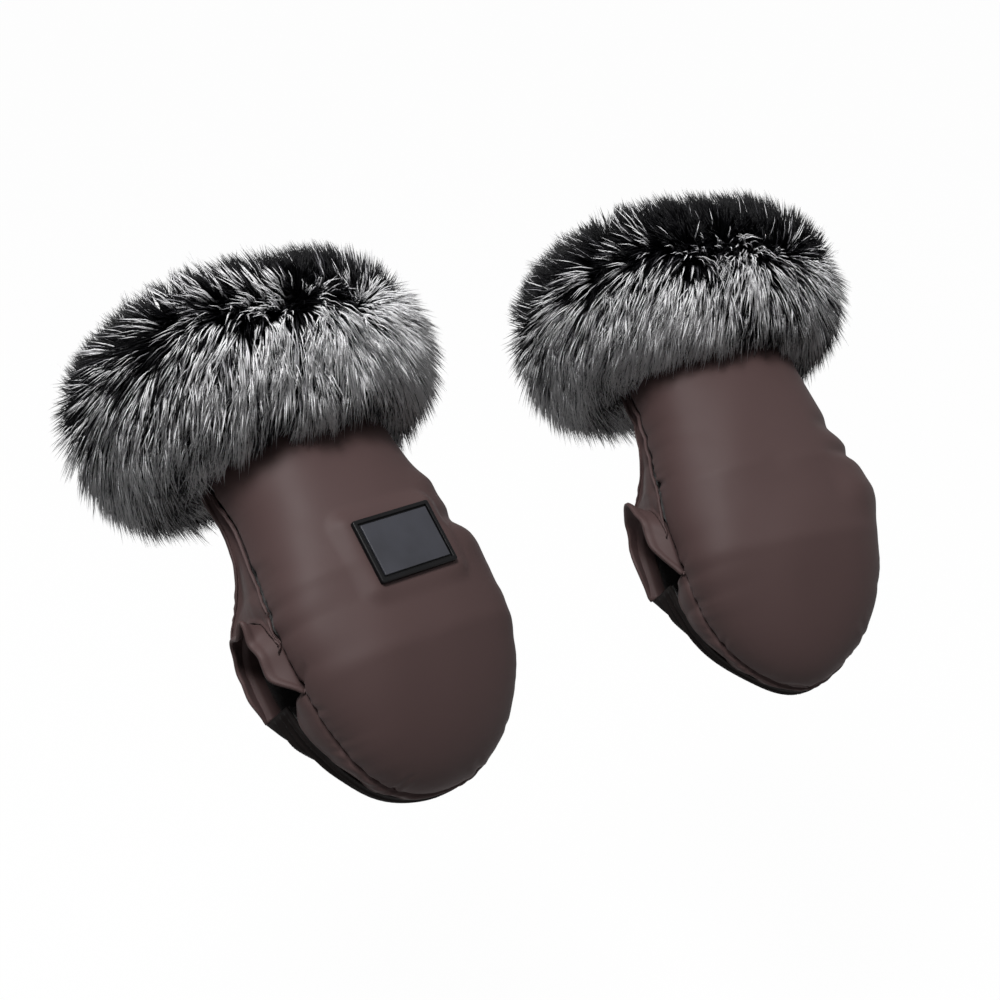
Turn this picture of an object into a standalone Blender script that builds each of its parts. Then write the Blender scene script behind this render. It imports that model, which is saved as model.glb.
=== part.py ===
"""A pair of stroller hand muffs: padded mittens with fur cuffs that sit on a handlebar.

Metres, +Z up. The origin is on the handlebar's axis, midway between the two muffs. X runs along the bar,
and -Y is the side of the front panels. Each muff is built in its own frame: its origin on the bar's axis,
z up along the muff towards the cuff, y from the front panel to the back. An empty carries that frame: it
leans it back, tilts its outer side down and yaws it forward, as the muffs hang on an arched bar.
"""
from math import atan2, cos, pi, radians, sin

import bmesh
import bpy
from mathutils import Vector

# The pair on the bar
BAR_RADIUS = 0.0175
MUFF_PITCH = 0.2730
BAR_DROP = 0.0130
LEAN_DEG = 41.0
TURN_DEG = 6.0
YAW_DEG = 6.5

# One muff, from its bar axis
HALF_WIDTH_BAR = 0.0680
HALF_WIDTH_CUFF = 0.0555
CUFF_SEAM_Z = 0.1150
WRIST_Z = 0.0900
WIDEST_Z = 0.0020
TIP_DROP = 0.0970
FRONT_CROWN_BAR = 0.0375
FRONT_CROWN_CUFF = 0.0440
REAR_CROWN_BAR = 0.0115
REAR_CROWN_CUFF = 0.0155
FRONT_SEAM_Y_CUFF = -0.0040
FRONT_SEAM_Y_TIP = -0.0075
REAR_SEAM_Y_CUFF = 0.0030
REAR_SEAM_Y_TIP = 0.0060
SECTION_POWER = 2.5
TIP_POWER = 2.25

# Layers of the padded panels
OUTER_CLOTH = 0.0012
WADDING = 0.0070
LINING = 0.0015
LAYER_GAP = 0.0003

# Side openings for the bar
BAR_PLAY = 0.0040
COLLAR_CLOTH = 0.0022
COLLAR_INSIDE = 0.0100
COLLAR_STANDOUT_LEFT = 0.0030
COLLAR_STANDOUT_RIGHT = -0.0015
COLLAR_CORNER = 0.0100
COLLAR_REAR_END_Z = -0.0180

# Slit, side strip and flap
SLIT_Y = -0.0030
SLIT_GAP = 0.0010
STRIP_CLOTH = 0.0040
FLAP_TOP_Z = 0.0100
HINGE_STANDOFF = 0.0010
GUSSET_LINING = 0.0035

# Closing magnets in the hems
MAGNET_RADIUS = 0.0040
MAGNET_THICK = 0.0020
MAGNET_Z = -0.0600
MAGNET_CLEAR = 0.0009
FLAP_HEM_RECESS = 0.0050

# Cuff
FACING_TOP_Z = 0.1960
FACING_CLOTH = 0.0020
ELASTIC_THICK = 0.0014
ELASTIC_HEIGHT = 0.0090
ELASTIC_LIFT = 0.0050
FUR_LOW_Z = 0.0970
FUR_TOP_Z = 0.2050
FUR_OUTSIDE = 0.0430
FUR_HANG_BACK = 0.0100
FUR_LIP = 0.0060
FUR_BODY_CLEAR = 0.0030
FUR_POWER = 2.4

# Rubber patch on the left muff
PATCH_WIDTH = 0.0510
PATCH_HEIGHT = 0.0370
PATCH_BASE = 0.0014
PATCH_RIM_WIDTH = 0.0022
PATCH_RIM_HEIGHT = 0.0012
PATCH_FIELD_MOAT = 0.0016
PATCH_FIELD = 0.0010
PATCH_CENTRE_X = 0.0035
PATCH_CENTRE_Z = 0.0260
PATCH_CORNER = 0.0012

# Facets
SMOOTH_BELOW_DEG = 40.0
ANGLE_HALVINGS = 50
CORNER_STEPS = 4
PATCH_SEAT_SAMPLES = 10
COLUMNS = 12
SIDE_COLUMNS = 3
RING_ARC_COLUMNS = 14
MAGNET_SIDES = 16
UPPER_ROW_SHARES = (1.0, 0.83, 0.66, 0.5, 0.33, 0.17, 0.0)
TIP_ROW_SHARES = (0.0, 0.2, 0.4, 0.58, 0.74, 0.88, 1.0)
FUR_ROWS = 9

# Follows from the sizes above
LAYER_STACK = OUTER_CLOTH + WADDING + LINING + 2 * LAYER_GAP
COLLAR_BORE = BAR_RADIUS + BAR_PLAY
OPENING_HALF = COLLAR_BORE + COLLAR_CLOTH + LAYER_GAP
FRONT_SEAM_Y_BAR = -OPENING_HALF
REAR_SEAM_Y_BAR = OPENING_HALF
TIP_RADIUS = TIP_DROP + WIDEST_Z
OPENING_TOP_Z = OPENING_HALF + LAYER_GAP
SLIT_TOP_Z = -OPENING_TOP_Z

OUTER = (0.0, OUTER_CLOTH)
MIDDLE = (OUTER_CLOTH + LAYER_GAP, OUTER_CLOTH + LAYER_GAP + WADDING)
INNER = (LAYER_STACK - LINING, LAYER_STACK)

COLOURS = {
    "softshell": ((0.088, 0.058, 0.052), 0.62, 0.0),
    "softshell_dark": ((0.020, 0.014, 0.012), 0.70, 0.0),
    "wadding": ((0.80, 0.79, 0.76), 0.90, 0.0),
    "fleece": ((0.030, 0.026, 0.026), 0.95, 0.0),
    "fur": ((0.16, 0.16, 0.17), 0.85, 0.0),
    "elastic": ((0.020, 0.020, 0.022), 0.80, 0.0),
    "magnet": ((0.55, 0.55, 0.56), 0.35, 1.0),
    "patch_rubber": ((0.030, 0.031, 0.036), 0.42, 0.0),
}


def clear_scene():
    """Remove every object, so that the model starts from nothing."""
    for item in list(bpy.data.objects):
        bpy.data.objects.remove(item, do_unlink=True)


def material(name):
    """Return the named material, made once."""
    found = bpy.data.materials.get(name)
    if found:
        return found
    colour, roughness, metallic = COLOURS[name]
    made = bpy.data.materials.new(name)
    made.use_nodes = True
    shader = made.node_tree.nodes["Principled BSDF"]
    shader.inputs["Base Color"].default_value = (*colour, 1.0)
    shader.inputs["Roughness"].default_value = roughness
    shader.inputs["Metallic"].default_value = metallic
    return made


def add_object(name, points, faces, finish, parent, smooth=True):
    """Make one mesh object in its parent's frame, with its faces turned outwards."""
    mesh = bpy.data.meshes.new(name)
    mesh.from_pydata([tuple(point) for point in points], [], faces)
    shell = bmesh.new()
    shell.from_mesh(mesh)
    bmesh.ops.recalc_face_normals(shell, faces=shell.faces)
    shell.to_mesh(mesh)
    shell.free()
    if smooth:
        mesh.shade_smooth()
        mesh.set_sharp_from_angle(angle=radians(SMOOTH_BELOW_DEG))
    mesh.materials.append(material(finish))
    item = bpy.data.objects.new(name, mesh)
    bpy.context.scene.collection.objects.link(item)
    item.parent = parent
    return item


def solid_between(outer, inner, cells):
    """Close two sheets of points into one solid: both sheets' cells and a wall along every free edge."""
    points, faces, seen = [], [], {}

    def index(side, key):
        place = (outer if side == "outer" else inner)[key]
        spot = (side, *(round(value, 7) for value in place))
        if spot not in seen:
            seen[spot] = len(points)
            points.append(place)
        return seen[spot]

    def distinct(corners):
        kept = [corner for place, corner in enumerate(corners) if corner != corners[place - 1]]
        return kept if len(kept) > 2 else None

    partner, edges = {}, set()
    for row, column in cells:
        keys = [(row, column), (row, column + 1), (row + 1, column + 1), (row + 1, column)]
        front = [index("outer", key) for key in keys]
        back = [index("inner", key) for key in keys]
        partner.update(zip(front, back))
        corners = distinct(front)
        if not corners:
            continue
        faces.append(corners)
        faces.append(distinct(back)[::-1])
        edges.update((corners[place - 1], corners[place]) for place in range(len(corners)))
    for start, end in edges:
        if (end, start) not in edges:
            faces.append([end, start, partner[start], partner[end]])
    return points, faces


def bar_to_cuff(low, high, z, start_z=WIDEST_Z):
    """Blend a size from a start height to the wrist, level at both ends."""
    share = min(max((z - start_z) / (WRIST_Z - start_z), 0.0), 1.0)
    return low + (high - low) * share * share * (3 - 2 * share)


def half_width(z):
    return bar_to_cuff(HALF_WIDTH_BAR, HALF_WIDTH_CUFF, z)


def front_seam_y(z):
    """Where the front seam lies: forward of the bar, and drawn back towards cuff and tip."""
    far_z, far_y = (CUFF_SEAM_Z, FRONT_SEAM_Y_CUFF) if z > 0 else (TIP_DROP, FRONT_SEAM_Y_TIP)
    share = min(max((abs(z) - OPENING_TOP_Z) / (far_z - OPENING_TOP_Z), 0.0), 1.0)
    return FRONT_SEAM_Y_BAR + (far_y - FRONT_SEAM_Y_BAR) * share


def rear_seam_y(z):
    """Where the back's rounding starts: behind the bar, and drawn forward towards the tip."""
    share = min(max((SLIT_TOP_Z - z) / (SLIT_TOP_Z + TIP_DROP), 0.0), 1.0)
    drawn = (REAR_SEAM_Y_TIP - REAR_SEAM_Y_BAR) * share
    return bar_to_cuff(REAR_SEAM_Y_BAR, REAR_SEAM_Y_CUFF, z, OPENING_TOP_Z) + drawn


def front_crown(z):
    return bar_to_cuff(FRONT_CROWN_BAR, FRONT_CROWN_CUFF, z)


def rear_crown(z):
    return bar_to_cuff(REAR_CROWN_BAR, REAR_CROWN_CUFF, z)


def rounded(value, power):
    """A sine or cosine bent towards the corners of its square, as a padded section is."""
    return (1 if value >= 0 else -1) * abs(value) ** (2 / power)


class Row:
    """One level of the muff's body: its height and sizes, drawn in by an inset."""

    def __init__(self, z, inset, tip_angle=None):
        self.seam_z = z
        self.width = half_width(z) - inset
        self.front = front_crown(z) - inset
        self.rear = rear_crown(z) - inset
        self.z = z
        if tip_angle is not None:
            across = rounded(cos(tip_angle), TIP_POWER)
            down = rounded(sin(tip_angle), TIP_POWER)
            self.seam_z = WIDEST_Z - TIP_RADIUS * down
            self.z = WIDEST_Z - (TIP_RADIUS - inset) * down
            self.width, self.front, self.rear = (
                size * across for size in (self.width, self.front, self.rear))

    def front_arc(self, columns=COLUMNS):
        """Points from the left seam round the front to the right seam."""
        seam = front_seam_y(self.seam_z)
        for step in range(columns + 1):
            angle = pi * step / columns
            yield Vector((-self.width * rounded(cos(angle), SECTION_POWER),
                          seam - self.front * rounded(sin(angle), SECTION_POWER), self.z))

    def rear_arc(self, columns=COLUMNS):
        """Points from the right seam round the back to the left seam."""
        seam = rear_seam_y(self.seam_z)
        for step in range(columns + 1):
            angle = pi * step / columns
            yield Vector((self.width * rounded(cos(angle), SECTION_POWER),
                          seam + self.rear * rounded(sin(angle), SECTION_POWER), self.z))

    def side(self, hand, start_y, end_y, columns=SIDE_COLUMNS):
        """Points straight back along one side, hand -1 left or 1 right."""
        for step in range(columns + 1):
            yield Vector((hand * self.width, start_y + (end_y - start_y) * step / columns, self.z))


def tip_angle_at(z, inset=0.0):
    """The tip angle at which an inset outline reaches a height below its widest level."""
    low, high = 0.0, pi / 2
    for _ in range(ANGLE_HALVINGS):
        middle = (low + high) / 2
        reached = WIDEST_Z - (TIP_RADIUS - inset) * rounded(sin(middle), TIP_POWER)
        low, high = (middle, high) if reached > z else (low, middle)
    return low


def upper_levels():
    """Heights from the cuff's seam down to the top of the bar's opening."""
    return [OPENING_TOP_Z + (CUFF_SEAM_Z - OPENING_TOP_Z) * share for share in UPPER_ROW_SHARES]


def tip_rows(inset):
    """Rows from the top of the slit down to the tip."""
    start = tip_angle_at(SLIT_TOP_Z)
    return [Row(WIDEST_Z, inset, start + (pi / 2 - start) * share) for share in TIP_ROW_SHARES]


def body_rows(inset):
    """Rows from the cuff's seam down to the tip."""
    return [Row(level, inset) for level in upper_levels() + [WIDEST_Z]] + tip_rows(inset)


def sheet(lines):
    """Number the points of a list of rows."""
    return {(row, column): point for row, line in enumerate(lines) for column, point in enumerate(line)}


def all_cells(rows, columns):
    return [(row, column) for row in range(rows - 1) for column in range(columns)]


def front_panel(name, layer, finish, parent):
    """The front of the mitten in one piece, from the cuff's seam over the tip."""
    outer, inner = ([list(row.front_arc()) for row in body_rows(inset)] for inset in layer)
    points, faces = solid_between(sheet(outer), sheet(inner), all_cells(len(outer), COLUMNS))
    return add_object(name, points, faces, finish, parent)


def rear_panel(name, layer, finish, parent):
    """The back of the mitten above the flap."""
    levels = upper_levels() + [FLAP_TOP_Z + LAYER_GAP]
    outer, inner = ([list(Row(level, inset).rear_arc()) for level in levels] for inset in layer)
    points, faces = solid_between(sheet(outer), sheet(inner), all_cells(len(levels), COLUMNS))
    return add_object(name, points, faces, finish, parent)


def gusset(name, hand, layer, finish, parent):
    """The side piece between front and back, from the bar's opening up to the cuff."""
    levels = upper_levels()

    def line(level, inset):
        start = front_seam_y(level) + LAYER_GAP
        return list(Row(level, inset).side(hand, start, rear_seam_y(level) - LAYER_GAP))

    outer, inner = ([line(level, inset) for level in levels] for inset in layer)
    points, faces = solid_between(sheet(outer), sheet(inner), all_cells(len(levels), SIDE_COLUMNS))
    return add_object(name, points, faces, finish, parent)


def side_strip(name, finish, parent):
    """The hemmed band between the front seam and the slit, down one side, under the tip and up the other."""
    sides = {}
    for inset in (0.0, STRIP_CLOTH):
        rows = tip_rows(inset)
        left, right = ([list(row.side(hand, front_seam_y(row.seam_z) + LAYER_GAP, SLIT_Y, 1)) for row in rows]
                       for hand in (-1, 1))
        sides[inset] = left + right[::-1][1:]
    outer, inner = sides[0.0], sides[STRIP_CLOTH]
    points, faces = solid_between(sheet(outer), sheet(inner), all_cells(len(outer), 1))
    return add_object(name, points, faces, finish, parent)


def flap_panel(name, layer, hem_y, finish, parent):
    """One layer of the flap: it wraps the tip's back, and a tongue of it rises behind the bar."""
    tongue_levels = [FLAP_TOP_Z, (FLAP_TOP_Z + WIDEST_Z) / 2, WIDEST_Z]

    def lines(inset):
        for row in [Row(level, inset) for level in tongue_levels] + tip_rows(inset):
            rear = rear_seam_y(row.seam_z)
            right = list(row.side(1, hem_y, rear))[:-1]
            left = list(row.side(-1, hem_y, rear))[:-1]
            yield right + list(row.rear_arc()) + left[::-1]

    outer, inner = (list(lines(inset)) for inset in layer)
    columns = COLUMNS + 2 * SIDE_COLUMNS
    cells = [(row, column) for row, column in all_cells(len(outer), columns)
             if row >= len(tongue_levels) or SIDE_COLUMNS <= column < SIDE_COLUMNS + COLUMNS]
    points, faces = solid_between(sheet(outer), sheet(inner), cells)
    return add_object(name, points, faces, finish, parent)


def collar_path(bore):
    """The collar's inner line in the side view: up the front, over the bar, down the back."""
    straight = bore - COLLAR_CORNER
    path = [(-bore, -COLLAR_BORE)]
    for centre_y, start in ((-straight, pi), (straight, pi / 2)):
        for step in range(CORNER_STEPS + 1):
            angle = start - pi / 2 * step / CORNER_STEPS
            path.append((centre_y + COLLAR_CORNER * cos(angle), straight + COLLAR_CORNER * sin(angle)))
    path.append((bore, COLLAR_REAR_END_Z))
    return path


def bar_collar(name, hand, finish, parent):
    """The hemmed collar round the bar's front, top and back: it stands out left and is tucked in right."""
    near = HALF_WIDTH_BAR - COLLAR_INSIDE
    far = HALF_WIDTH_BAR + (COLLAR_STANDOUT_LEFT if hand < 0 else COLLAR_STANDOUT_RIGHT)
    bore_line = collar_path(COLLAR_BORE)
    outside_line = [(y + COLLAR_CLOTH * out_y, z + COLLAR_CLOTH * out_z)
                    for (y, z), (out_y, out_z) in zip(bore_line, path_normals(bore_line))]
    lines = [[[Vector((hand * x, y, z)) for x in (near, far)] for y, z in line]
             for line in (outside_line, bore_line)]
    points, faces = solid_between(sheet(lines[0]), sheet(lines[1]), all_cells(len(bore_line), 1))
    return add_object(name, points, faces, finish, parent)


def path_normals(path):
    """Outward unit normals of an open path that runs clockwise in the side view."""
    normals = []
    for place in range(len(path)):
        before = path[max(place - 1, 0)]
        after = path[min(place + 1, len(path) - 1)]
        along = Vector((after[0] - before[0], after[1] - before[1])).normalized()
        normals.append((-along.y, along.x))
    return normals


def magnet(name, hand, start_y, inset, finish, parent):
    """One disc in a hem, hand -1 left or 1 right, whose face looks along y across the slit."""
    angles = [2 * pi * step / MAGNET_SIDES for step in range(MAGNET_SIDES)]
    wall = inset + MAGNET_CLEAR

    def room(angle):
        level = tip_angle_at(MAGNET_Z + MAGNET_RADIUS * sin(angle), wall)
        return Row(WIDEST_Z, wall, level).width - MAGNET_RADIUS * cos(angle)

    reach = hand * min(room(angle) for angle in angles)
    loops = []
    for y in (start_y, start_y + MAGNET_THICK):
        loops.append([Vector((reach + MAGNET_RADIUS * cos(angle), y, MAGNET_Z + MAGNET_RADIUS * sin(angle)))
                      for angle in angles])
    return add_object(name, *stack_faces(loops), finish, parent)


def cuff_loop(offset, z, back):
    """The body's section at the cuff's seam, let out by an offset, as one closed line at a height."""
    row = Row(CUFF_SEAM_Z, -offset)
    line = list(row.front_arc(RING_ARC_COLUMNS)) + list(row.rear_arc(RING_ARC_COLUMNS))
    return [Vector((point.x, point.y + back, z)) for point in line]


def cuff_ring(name, profile, finish, parent):
    """Turn a closed profile of (offset, height, shift to the back) round the cuff."""
    loops = [cuff_loop(offset, z, back) for offset, z, back in profile]
    around = len(loops[0])
    points = [point for loop in loops for point in loop]
    faces = []
    for place in range(len(loops)):
        after = (place + 1) % len(loops)
        for step in range(around):
            ahead = (step + 1) % around
            near, far = place * around, after * around
            faces.append([near + step, near + ahead, far + ahead, far + step])
    return add_object(name, points, faces, finish, parent)


def cuff(side, parent):
    """Fur cuff, the facing that lines its mouth, and the elastic between them."""
    seat = CUFF_SEAM_Z + LAYER_GAP
    facing_out = -LINING
    facing_in = facing_out - FACING_CLOTH
    elastic_in = facing_out + LAYER_GAP
    elastic_out = elastic_in + ELASTIC_THICK
    elastic_z = seat + ELASTIC_LIFT
    fur_in = elastic_out + LAYER_GAP
    middle = (FUR_LOW_Z + FUR_TOP_Z) / 2
    half = (FUR_TOP_Z - FUR_LOW_Z) / 2
    swell = FUR_OUTSIDE - FUR_LIP
    bulge = []
    for step in range(FUR_ROWS):
        angle = -pi / 2 + pi * step / (FUR_ROWS - 1)
        full = rounded(cos(angle), FUR_POWER)
        height = middle + half * rounded(sin(angle), FUR_POWER)
        bulge.append((FUR_LIP + swell * full, height, FUR_HANG_BACK * full))
    under = fur_in + FUR_BODY_CLEAR
    fur = bulge + [(fur_in, FACING_TOP_Z, 0.0), (fur_in, seat, 0.0), (under, seat, 0.0)]
    facing = [(offset, z, 0.0) for offset, z in ((facing_in, seat), (facing_out, seat),
                                                 (facing_out, FACING_TOP_Z), (facing_in, FACING_TOP_Z))]
    elastic = [(offset, z, 0.0) for offset, z in ((elastic_in, elastic_z), (elastic_out, elastic_z),
                                                  (elastic_out, elastic_z + ELASTIC_HEIGHT),
                                                  (elastic_in, elastic_z + ELASTIC_HEIGHT))]
    cuff_ring(f"{side}_fur_cuff", fur, "fur", parent)
    cuff_ring(f"{side}_cuff_facing", facing, "fleece", parent)
    cuff_ring(f"{side}_wrist_elastic", elastic, "elastic", parent)


def front_line_y(z):
    """The front panel's foremost line at the muff's middle."""
    return front_seam_y(z) - front_crown(z)


def rectangle(width, height, corner, y):
    """A rectangle with clipped corners in the patch's plane."""
    half_x, half_z = width / 2, height / 2
    outline = []
    for hand_x, hand_z in ((1, 1), (-1, 1), (-1, -1), (1, -1)):
        pair = [(hand_x * half_x, hand_z * (half_z - corner)), (hand_x * (half_x - corner), hand_z * half_z)]
        outline += pair if hand_x * hand_z > 0 else pair[::-1]
    return [Vector((x, y, z)) for x, z in outline]


def stack_faces(loops):
    """Close a stack of equal loops with walls and two end caps."""
    around = len(loops[0])
    points = [point for loop in loops for point in loop]
    faces = [list(range(around)), [len(points) - around + step for step in reversed(range(around))]]
    for place in range(len(loops) - 1):
        for step in range(around):
            ahead = (step + 1) % around
            low, high = place * around, (place + 1) * around
            faces.append([low + step, low + ahead, high + ahead, high + step])
    return points, faces


def patch(side, parent):
    """The rubber patch: a base with a raised rim, and a raised flat field inside a moat."""
    top_z, low_z = (PATCH_CENTRE_Z + sign * PATCH_HEIGHT / 2 for sign in (1, -1))
    top_y, low_y = front_line_y(top_z), front_line_y(low_z)
    samples = [low_z + PATCH_HEIGHT * step / PATCH_SEAT_SAMPLES for step in range(PATCH_SEAT_SAMPLES + 1)]
    proud = max(low_y + (top_y - low_y) * (z - low_z) / PATCH_HEIGHT - front_line_y(z) for z in samples)
    seat = bpy.data.objects.new(f"{side}_patch_seat", None)
    bpy.context.scene.collection.objects.link(seat)
    seat.parent = parent
    seat.location = (PATCH_CENTRE_X, (top_y + low_y) / 2 - proud - LAYER_GAP, PATCH_CENTRE_Z)
    seat.rotation_euler = (-atan2(top_y - low_y, PATCH_HEIGHT), 0.0, 0.0)
    rim_y = -PATCH_BASE - PATCH_RIM_HEIGHT
    inner_width, inner_height = (size - 2 * PATCH_RIM_WIDTH for size in (PATCH_WIDTH, PATCH_HEIGHT))
    loops = [rectangle(PATCH_WIDTH, PATCH_HEIGHT, PATCH_CORNER, 0.0),
             rectangle(PATCH_WIDTH, PATCH_HEIGHT, PATCH_CORNER, rim_y),
             rectangle(inner_width, inner_height, PATCH_CORNER, rim_y),
             rectangle(inner_width, inner_height, PATCH_CORNER, -PATCH_BASE)]
    add_object(f"{side}_patch_base", *stack_faces(loops), "patch_rubber", seat, smooth=False)
    field_width, field_height = (size - 2 * PATCH_FIELD_MOAT for size in (inner_width, inner_height))
    field_y = -PATCH_BASE - LAYER_GAP
    field = [rectangle(field_width, field_height, PATCH_CORNER, y) for y in (field_y, field_y - PATCH_FIELD)]
    add_object(f"{side}_patch_field", *stack_faces(field), "patch_rubber", seat, smooth=False)


def flap(side, hand, parent):
    """The padded flap and its magnets, carried by an empty on the fold line behind the bar."""
    hinge = bpy.data.objects.new(f"{side}_flap_fold", None)
    bpy.context.scene.collection.objects.link(hinge)
    hinge.parent = parent
    fold_y = rear_seam_y(FLAP_TOP_Z) + rear_crown(FLAP_TOP_Z) + HINGE_STANDOFF
    hinge.location = (0.0, fold_y, FLAP_TOP_Z + LAYER_GAP / 2)
    hem_y = SLIT_Y + SLIT_GAP
    pieces = [flap_panel(f"{side}_flap_outer_panel", OUTER, hem_y, "softshell_dark", hinge),
              flap_panel(f"{side}_flap_wadding", MIDDLE, hem_y + FLAP_HEM_RECESS, "wadding", hinge),
              flap_panel(f"{side}_flap_lining", INNER, hem_y + FLAP_HEM_RECESS, "fleece", hinge)]
    magnet_y = hem_y + FLAP_HEM_RECESS - LAYER_GAP - MAGNET_THICK
    for where, side_hand in (("inboard", -hand), ("outboard", hand)):
        pieces.append(magnet(f"{side}_flap_magnet_{where}", side_hand, magnet_y, OUTER_CLOTH,
                             "magnet", hinge))
    for piece in pieces:
        piece.data.transform(hinge.matrix_basis.inverted())


def muff(side, hand):
    """One whole muff on its frame, hand -1 left or 1 right."""
    frame = bpy.data.objects.new(f"{side}_muff_frame", None)
    bpy.context.scene.collection.objects.link(frame)
    frame.rotation_mode = "ZYX"
    frame.location = (hand * MUFF_PITCH / 2, 0.0, -BAR_DROP)
    frame.rotation_euler = (-radians(LEAN_DEG), hand * radians(TURN_DEG), -hand * radians(YAW_DEG))
    front_panel(f"{side}_front_outer_panel", OUTER, "softshell", frame)
    front_panel(f"{side}_front_wadding", MIDDLE, "wadding", frame)
    front_panel(f"{side}_front_lining", INNER, "fleece", frame)
    rear_panel(f"{side}_rear_outer_panel", OUTER, "softshell", frame)
    rear_panel(f"{side}_rear_wadding", MIDDLE, "wadding", frame)
    rear_panel(f"{side}_rear_lining", INNER, "fleece", frame)
    gusset_inner = (OUTER_CLOTH + LAYER_GAP, OUTER_CLOTH + LAYER_GAP + GUSSET_LINING)
    for where, side_hand in (("inboard", -hand), ("outboard", hand)):
        gusset(f"{side}_gusset_{where}", side_hand, OUTER, "softshell", frame)
        gusset(f"{side}_gusset_lining_{where}", side_hand, gusset_inner, "fleece", frame)
        bar_collar(f"{side}_bar_collar_{where}", side_hand, "softshell", frame)
        magnet(f"{side}_hem_magnet_{where}", side_hand, SLIT_Y - MAGNET_THICK, STRIP_CLOTH,
               "magnet", frame)
    side_strip(f"{side}_side_strip", "softshell", frame)
    cuff(side, frame)
    flap(side, hand, frame)
    if side == "left":
        patch(side, frame)


clear_scene()
muff("left", -1)
muff("right", 1)
bpy.context.view_layer.update()
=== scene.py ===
"""Looks of a pair of stroller hand muffs: padded softshell mittens with long-pile fur cuffs.

Metres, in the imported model's frame. Each muff is worked out in a frame of its own, with its origin on the
bar's axis, x across the muff, y from the front panel to the back and z up towards the cuff, and is then
put in its place. Rows run from the cuff down to the tip, and columns run round the muff.
"""

from math import atan2, cos, pi, radians, sin

import bmesh
import bpy
import numpy as np
from mathutils import Euler, Matrix, Vector
from mathutils.kdtree import KDTree


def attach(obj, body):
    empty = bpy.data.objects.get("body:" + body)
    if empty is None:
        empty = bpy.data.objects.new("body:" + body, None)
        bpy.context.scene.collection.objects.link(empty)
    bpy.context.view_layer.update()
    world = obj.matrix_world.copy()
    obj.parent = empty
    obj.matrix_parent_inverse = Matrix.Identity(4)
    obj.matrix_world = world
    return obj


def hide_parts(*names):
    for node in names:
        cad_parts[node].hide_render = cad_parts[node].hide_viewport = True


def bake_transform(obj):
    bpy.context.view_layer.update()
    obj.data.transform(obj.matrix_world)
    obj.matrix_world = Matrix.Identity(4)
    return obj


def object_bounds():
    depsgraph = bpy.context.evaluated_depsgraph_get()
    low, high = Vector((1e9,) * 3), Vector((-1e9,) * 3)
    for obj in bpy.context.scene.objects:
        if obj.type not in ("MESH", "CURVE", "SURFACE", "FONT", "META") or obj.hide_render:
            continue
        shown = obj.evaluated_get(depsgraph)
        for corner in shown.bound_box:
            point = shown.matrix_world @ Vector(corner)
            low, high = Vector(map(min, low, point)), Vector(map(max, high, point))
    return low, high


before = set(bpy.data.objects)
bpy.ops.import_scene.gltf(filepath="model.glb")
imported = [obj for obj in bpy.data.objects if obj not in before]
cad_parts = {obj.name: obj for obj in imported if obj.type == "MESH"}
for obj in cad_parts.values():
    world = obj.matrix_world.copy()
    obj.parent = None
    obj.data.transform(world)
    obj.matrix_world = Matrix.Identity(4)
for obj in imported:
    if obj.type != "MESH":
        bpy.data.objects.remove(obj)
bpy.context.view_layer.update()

# The pair on the bar
MUFF_PITCH = 0.2730
BAR_DROP = 0.0130
LEAN_DEG = 41.0
TURN_DEG = 6.0
YAW_DEG = 6.5

# One muff, from its bar axis
HALF_WIDTH_BAR = 0.0680
HALF_WIDTH_CUFF = 0.0555
CUFF_SEAM_Z = 0.1150
WRIST_Z = 0.0900
WIDEST_Z = 0.0020
TIP_DROP = 0.0970
FRONT_CROWN_BAR = 0.0375
FRONT_CROWN_CUFF = 0.0440
REAR_CROWN_BAR = 0.0115
REAR_CROWN_CUFF = 0.0155
FRONT_SEAM_Y_CUFF = -0.0040
FRONT_SEAM_Y_TIP = -0.0075
REAR_SEAM_Y_CUFF = 0.0030
REAR_SEAM_Y_TIP = 0.0035
SECTION_POWER = 2.5
TIP_POWER = 2.25

# Layers
OUTER_CLOTH = 0.0012
WADDING = 0.0070
LINING = 0.0015
LAYER_GAP = 0.0003
GUSSET_LINING = 0.0035
STRIP_CLOTH = 0.0040

# Openings, flap and cuff
OPENING_HALF = 0.0240
OPENING_TOP_Z = 0.0243
SLIT_Y = -0.0030
SLIT_GAP = 0.0010
FLAP_TOP_Z = 0.0100
FLAP_HEM_RECESS = 0.0050
PATCH_WIDTH = 0.0510
PATCH_HEIGHT = 0.0370
PATCH_BASE = 0.0014
PATCH_RIM_HEIGHT = 0.0012
PATCH_FIELD = 0.0010
PATCH_CENTRE_X = 0.0035
PATCH_CENTRE_Z = 0.0260

# The camera that took the photograph
VIEW_AZIMUTH_DEG = -33.0
VIEW_ELEVATION_DEG = 20.0
VIEW_DISTANCE = 1.1
METRES_PER_PIXEL = 0.000583
ORIGIN_PIXEL = (571.0, 560.0)
IMAGE_PIXELS = 1000.0
SENSOR_MM = 36.0
CLIP_NEAR = 0.05
CLIP_FAR = 20.0

# Follows from the sizes above
TIP_RADIUS = TIP_DROP + WIDEST_Z
SLIT_TOP_Z = -OPENING_TOP_Z
LAYER_STACK = OUTER_CLOTH + WADDING + LINING + 2 * LAYER_GAP
HANDS = {"left": -1, "right": 1}

# Share of a cloth's thickness that is drawn, how far wadding keeps inside its packed one, and how full of
# stuffing a padded piece is
CLOTH_DRAWN = 0.8
GUSSET_DRAWN = 0.7
HIDDEN_INSET = 0.0020
PANEL_FILL = 0.5
FRONT_FILL = 0.6
GUSSET_FILL = 0.4

# What lies under an outer cloth: layer, finish, depth and thickness
UNDER_LAYERS = (
    ("wadding", "wadding", OUTER_CLOTH + LAYER_GAP + HIDDEN_INSET, WADDING - HIDDEN_INSET),
    ("lining", "fleece", LAYER_STACK - LINING, LINING),
)


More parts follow.
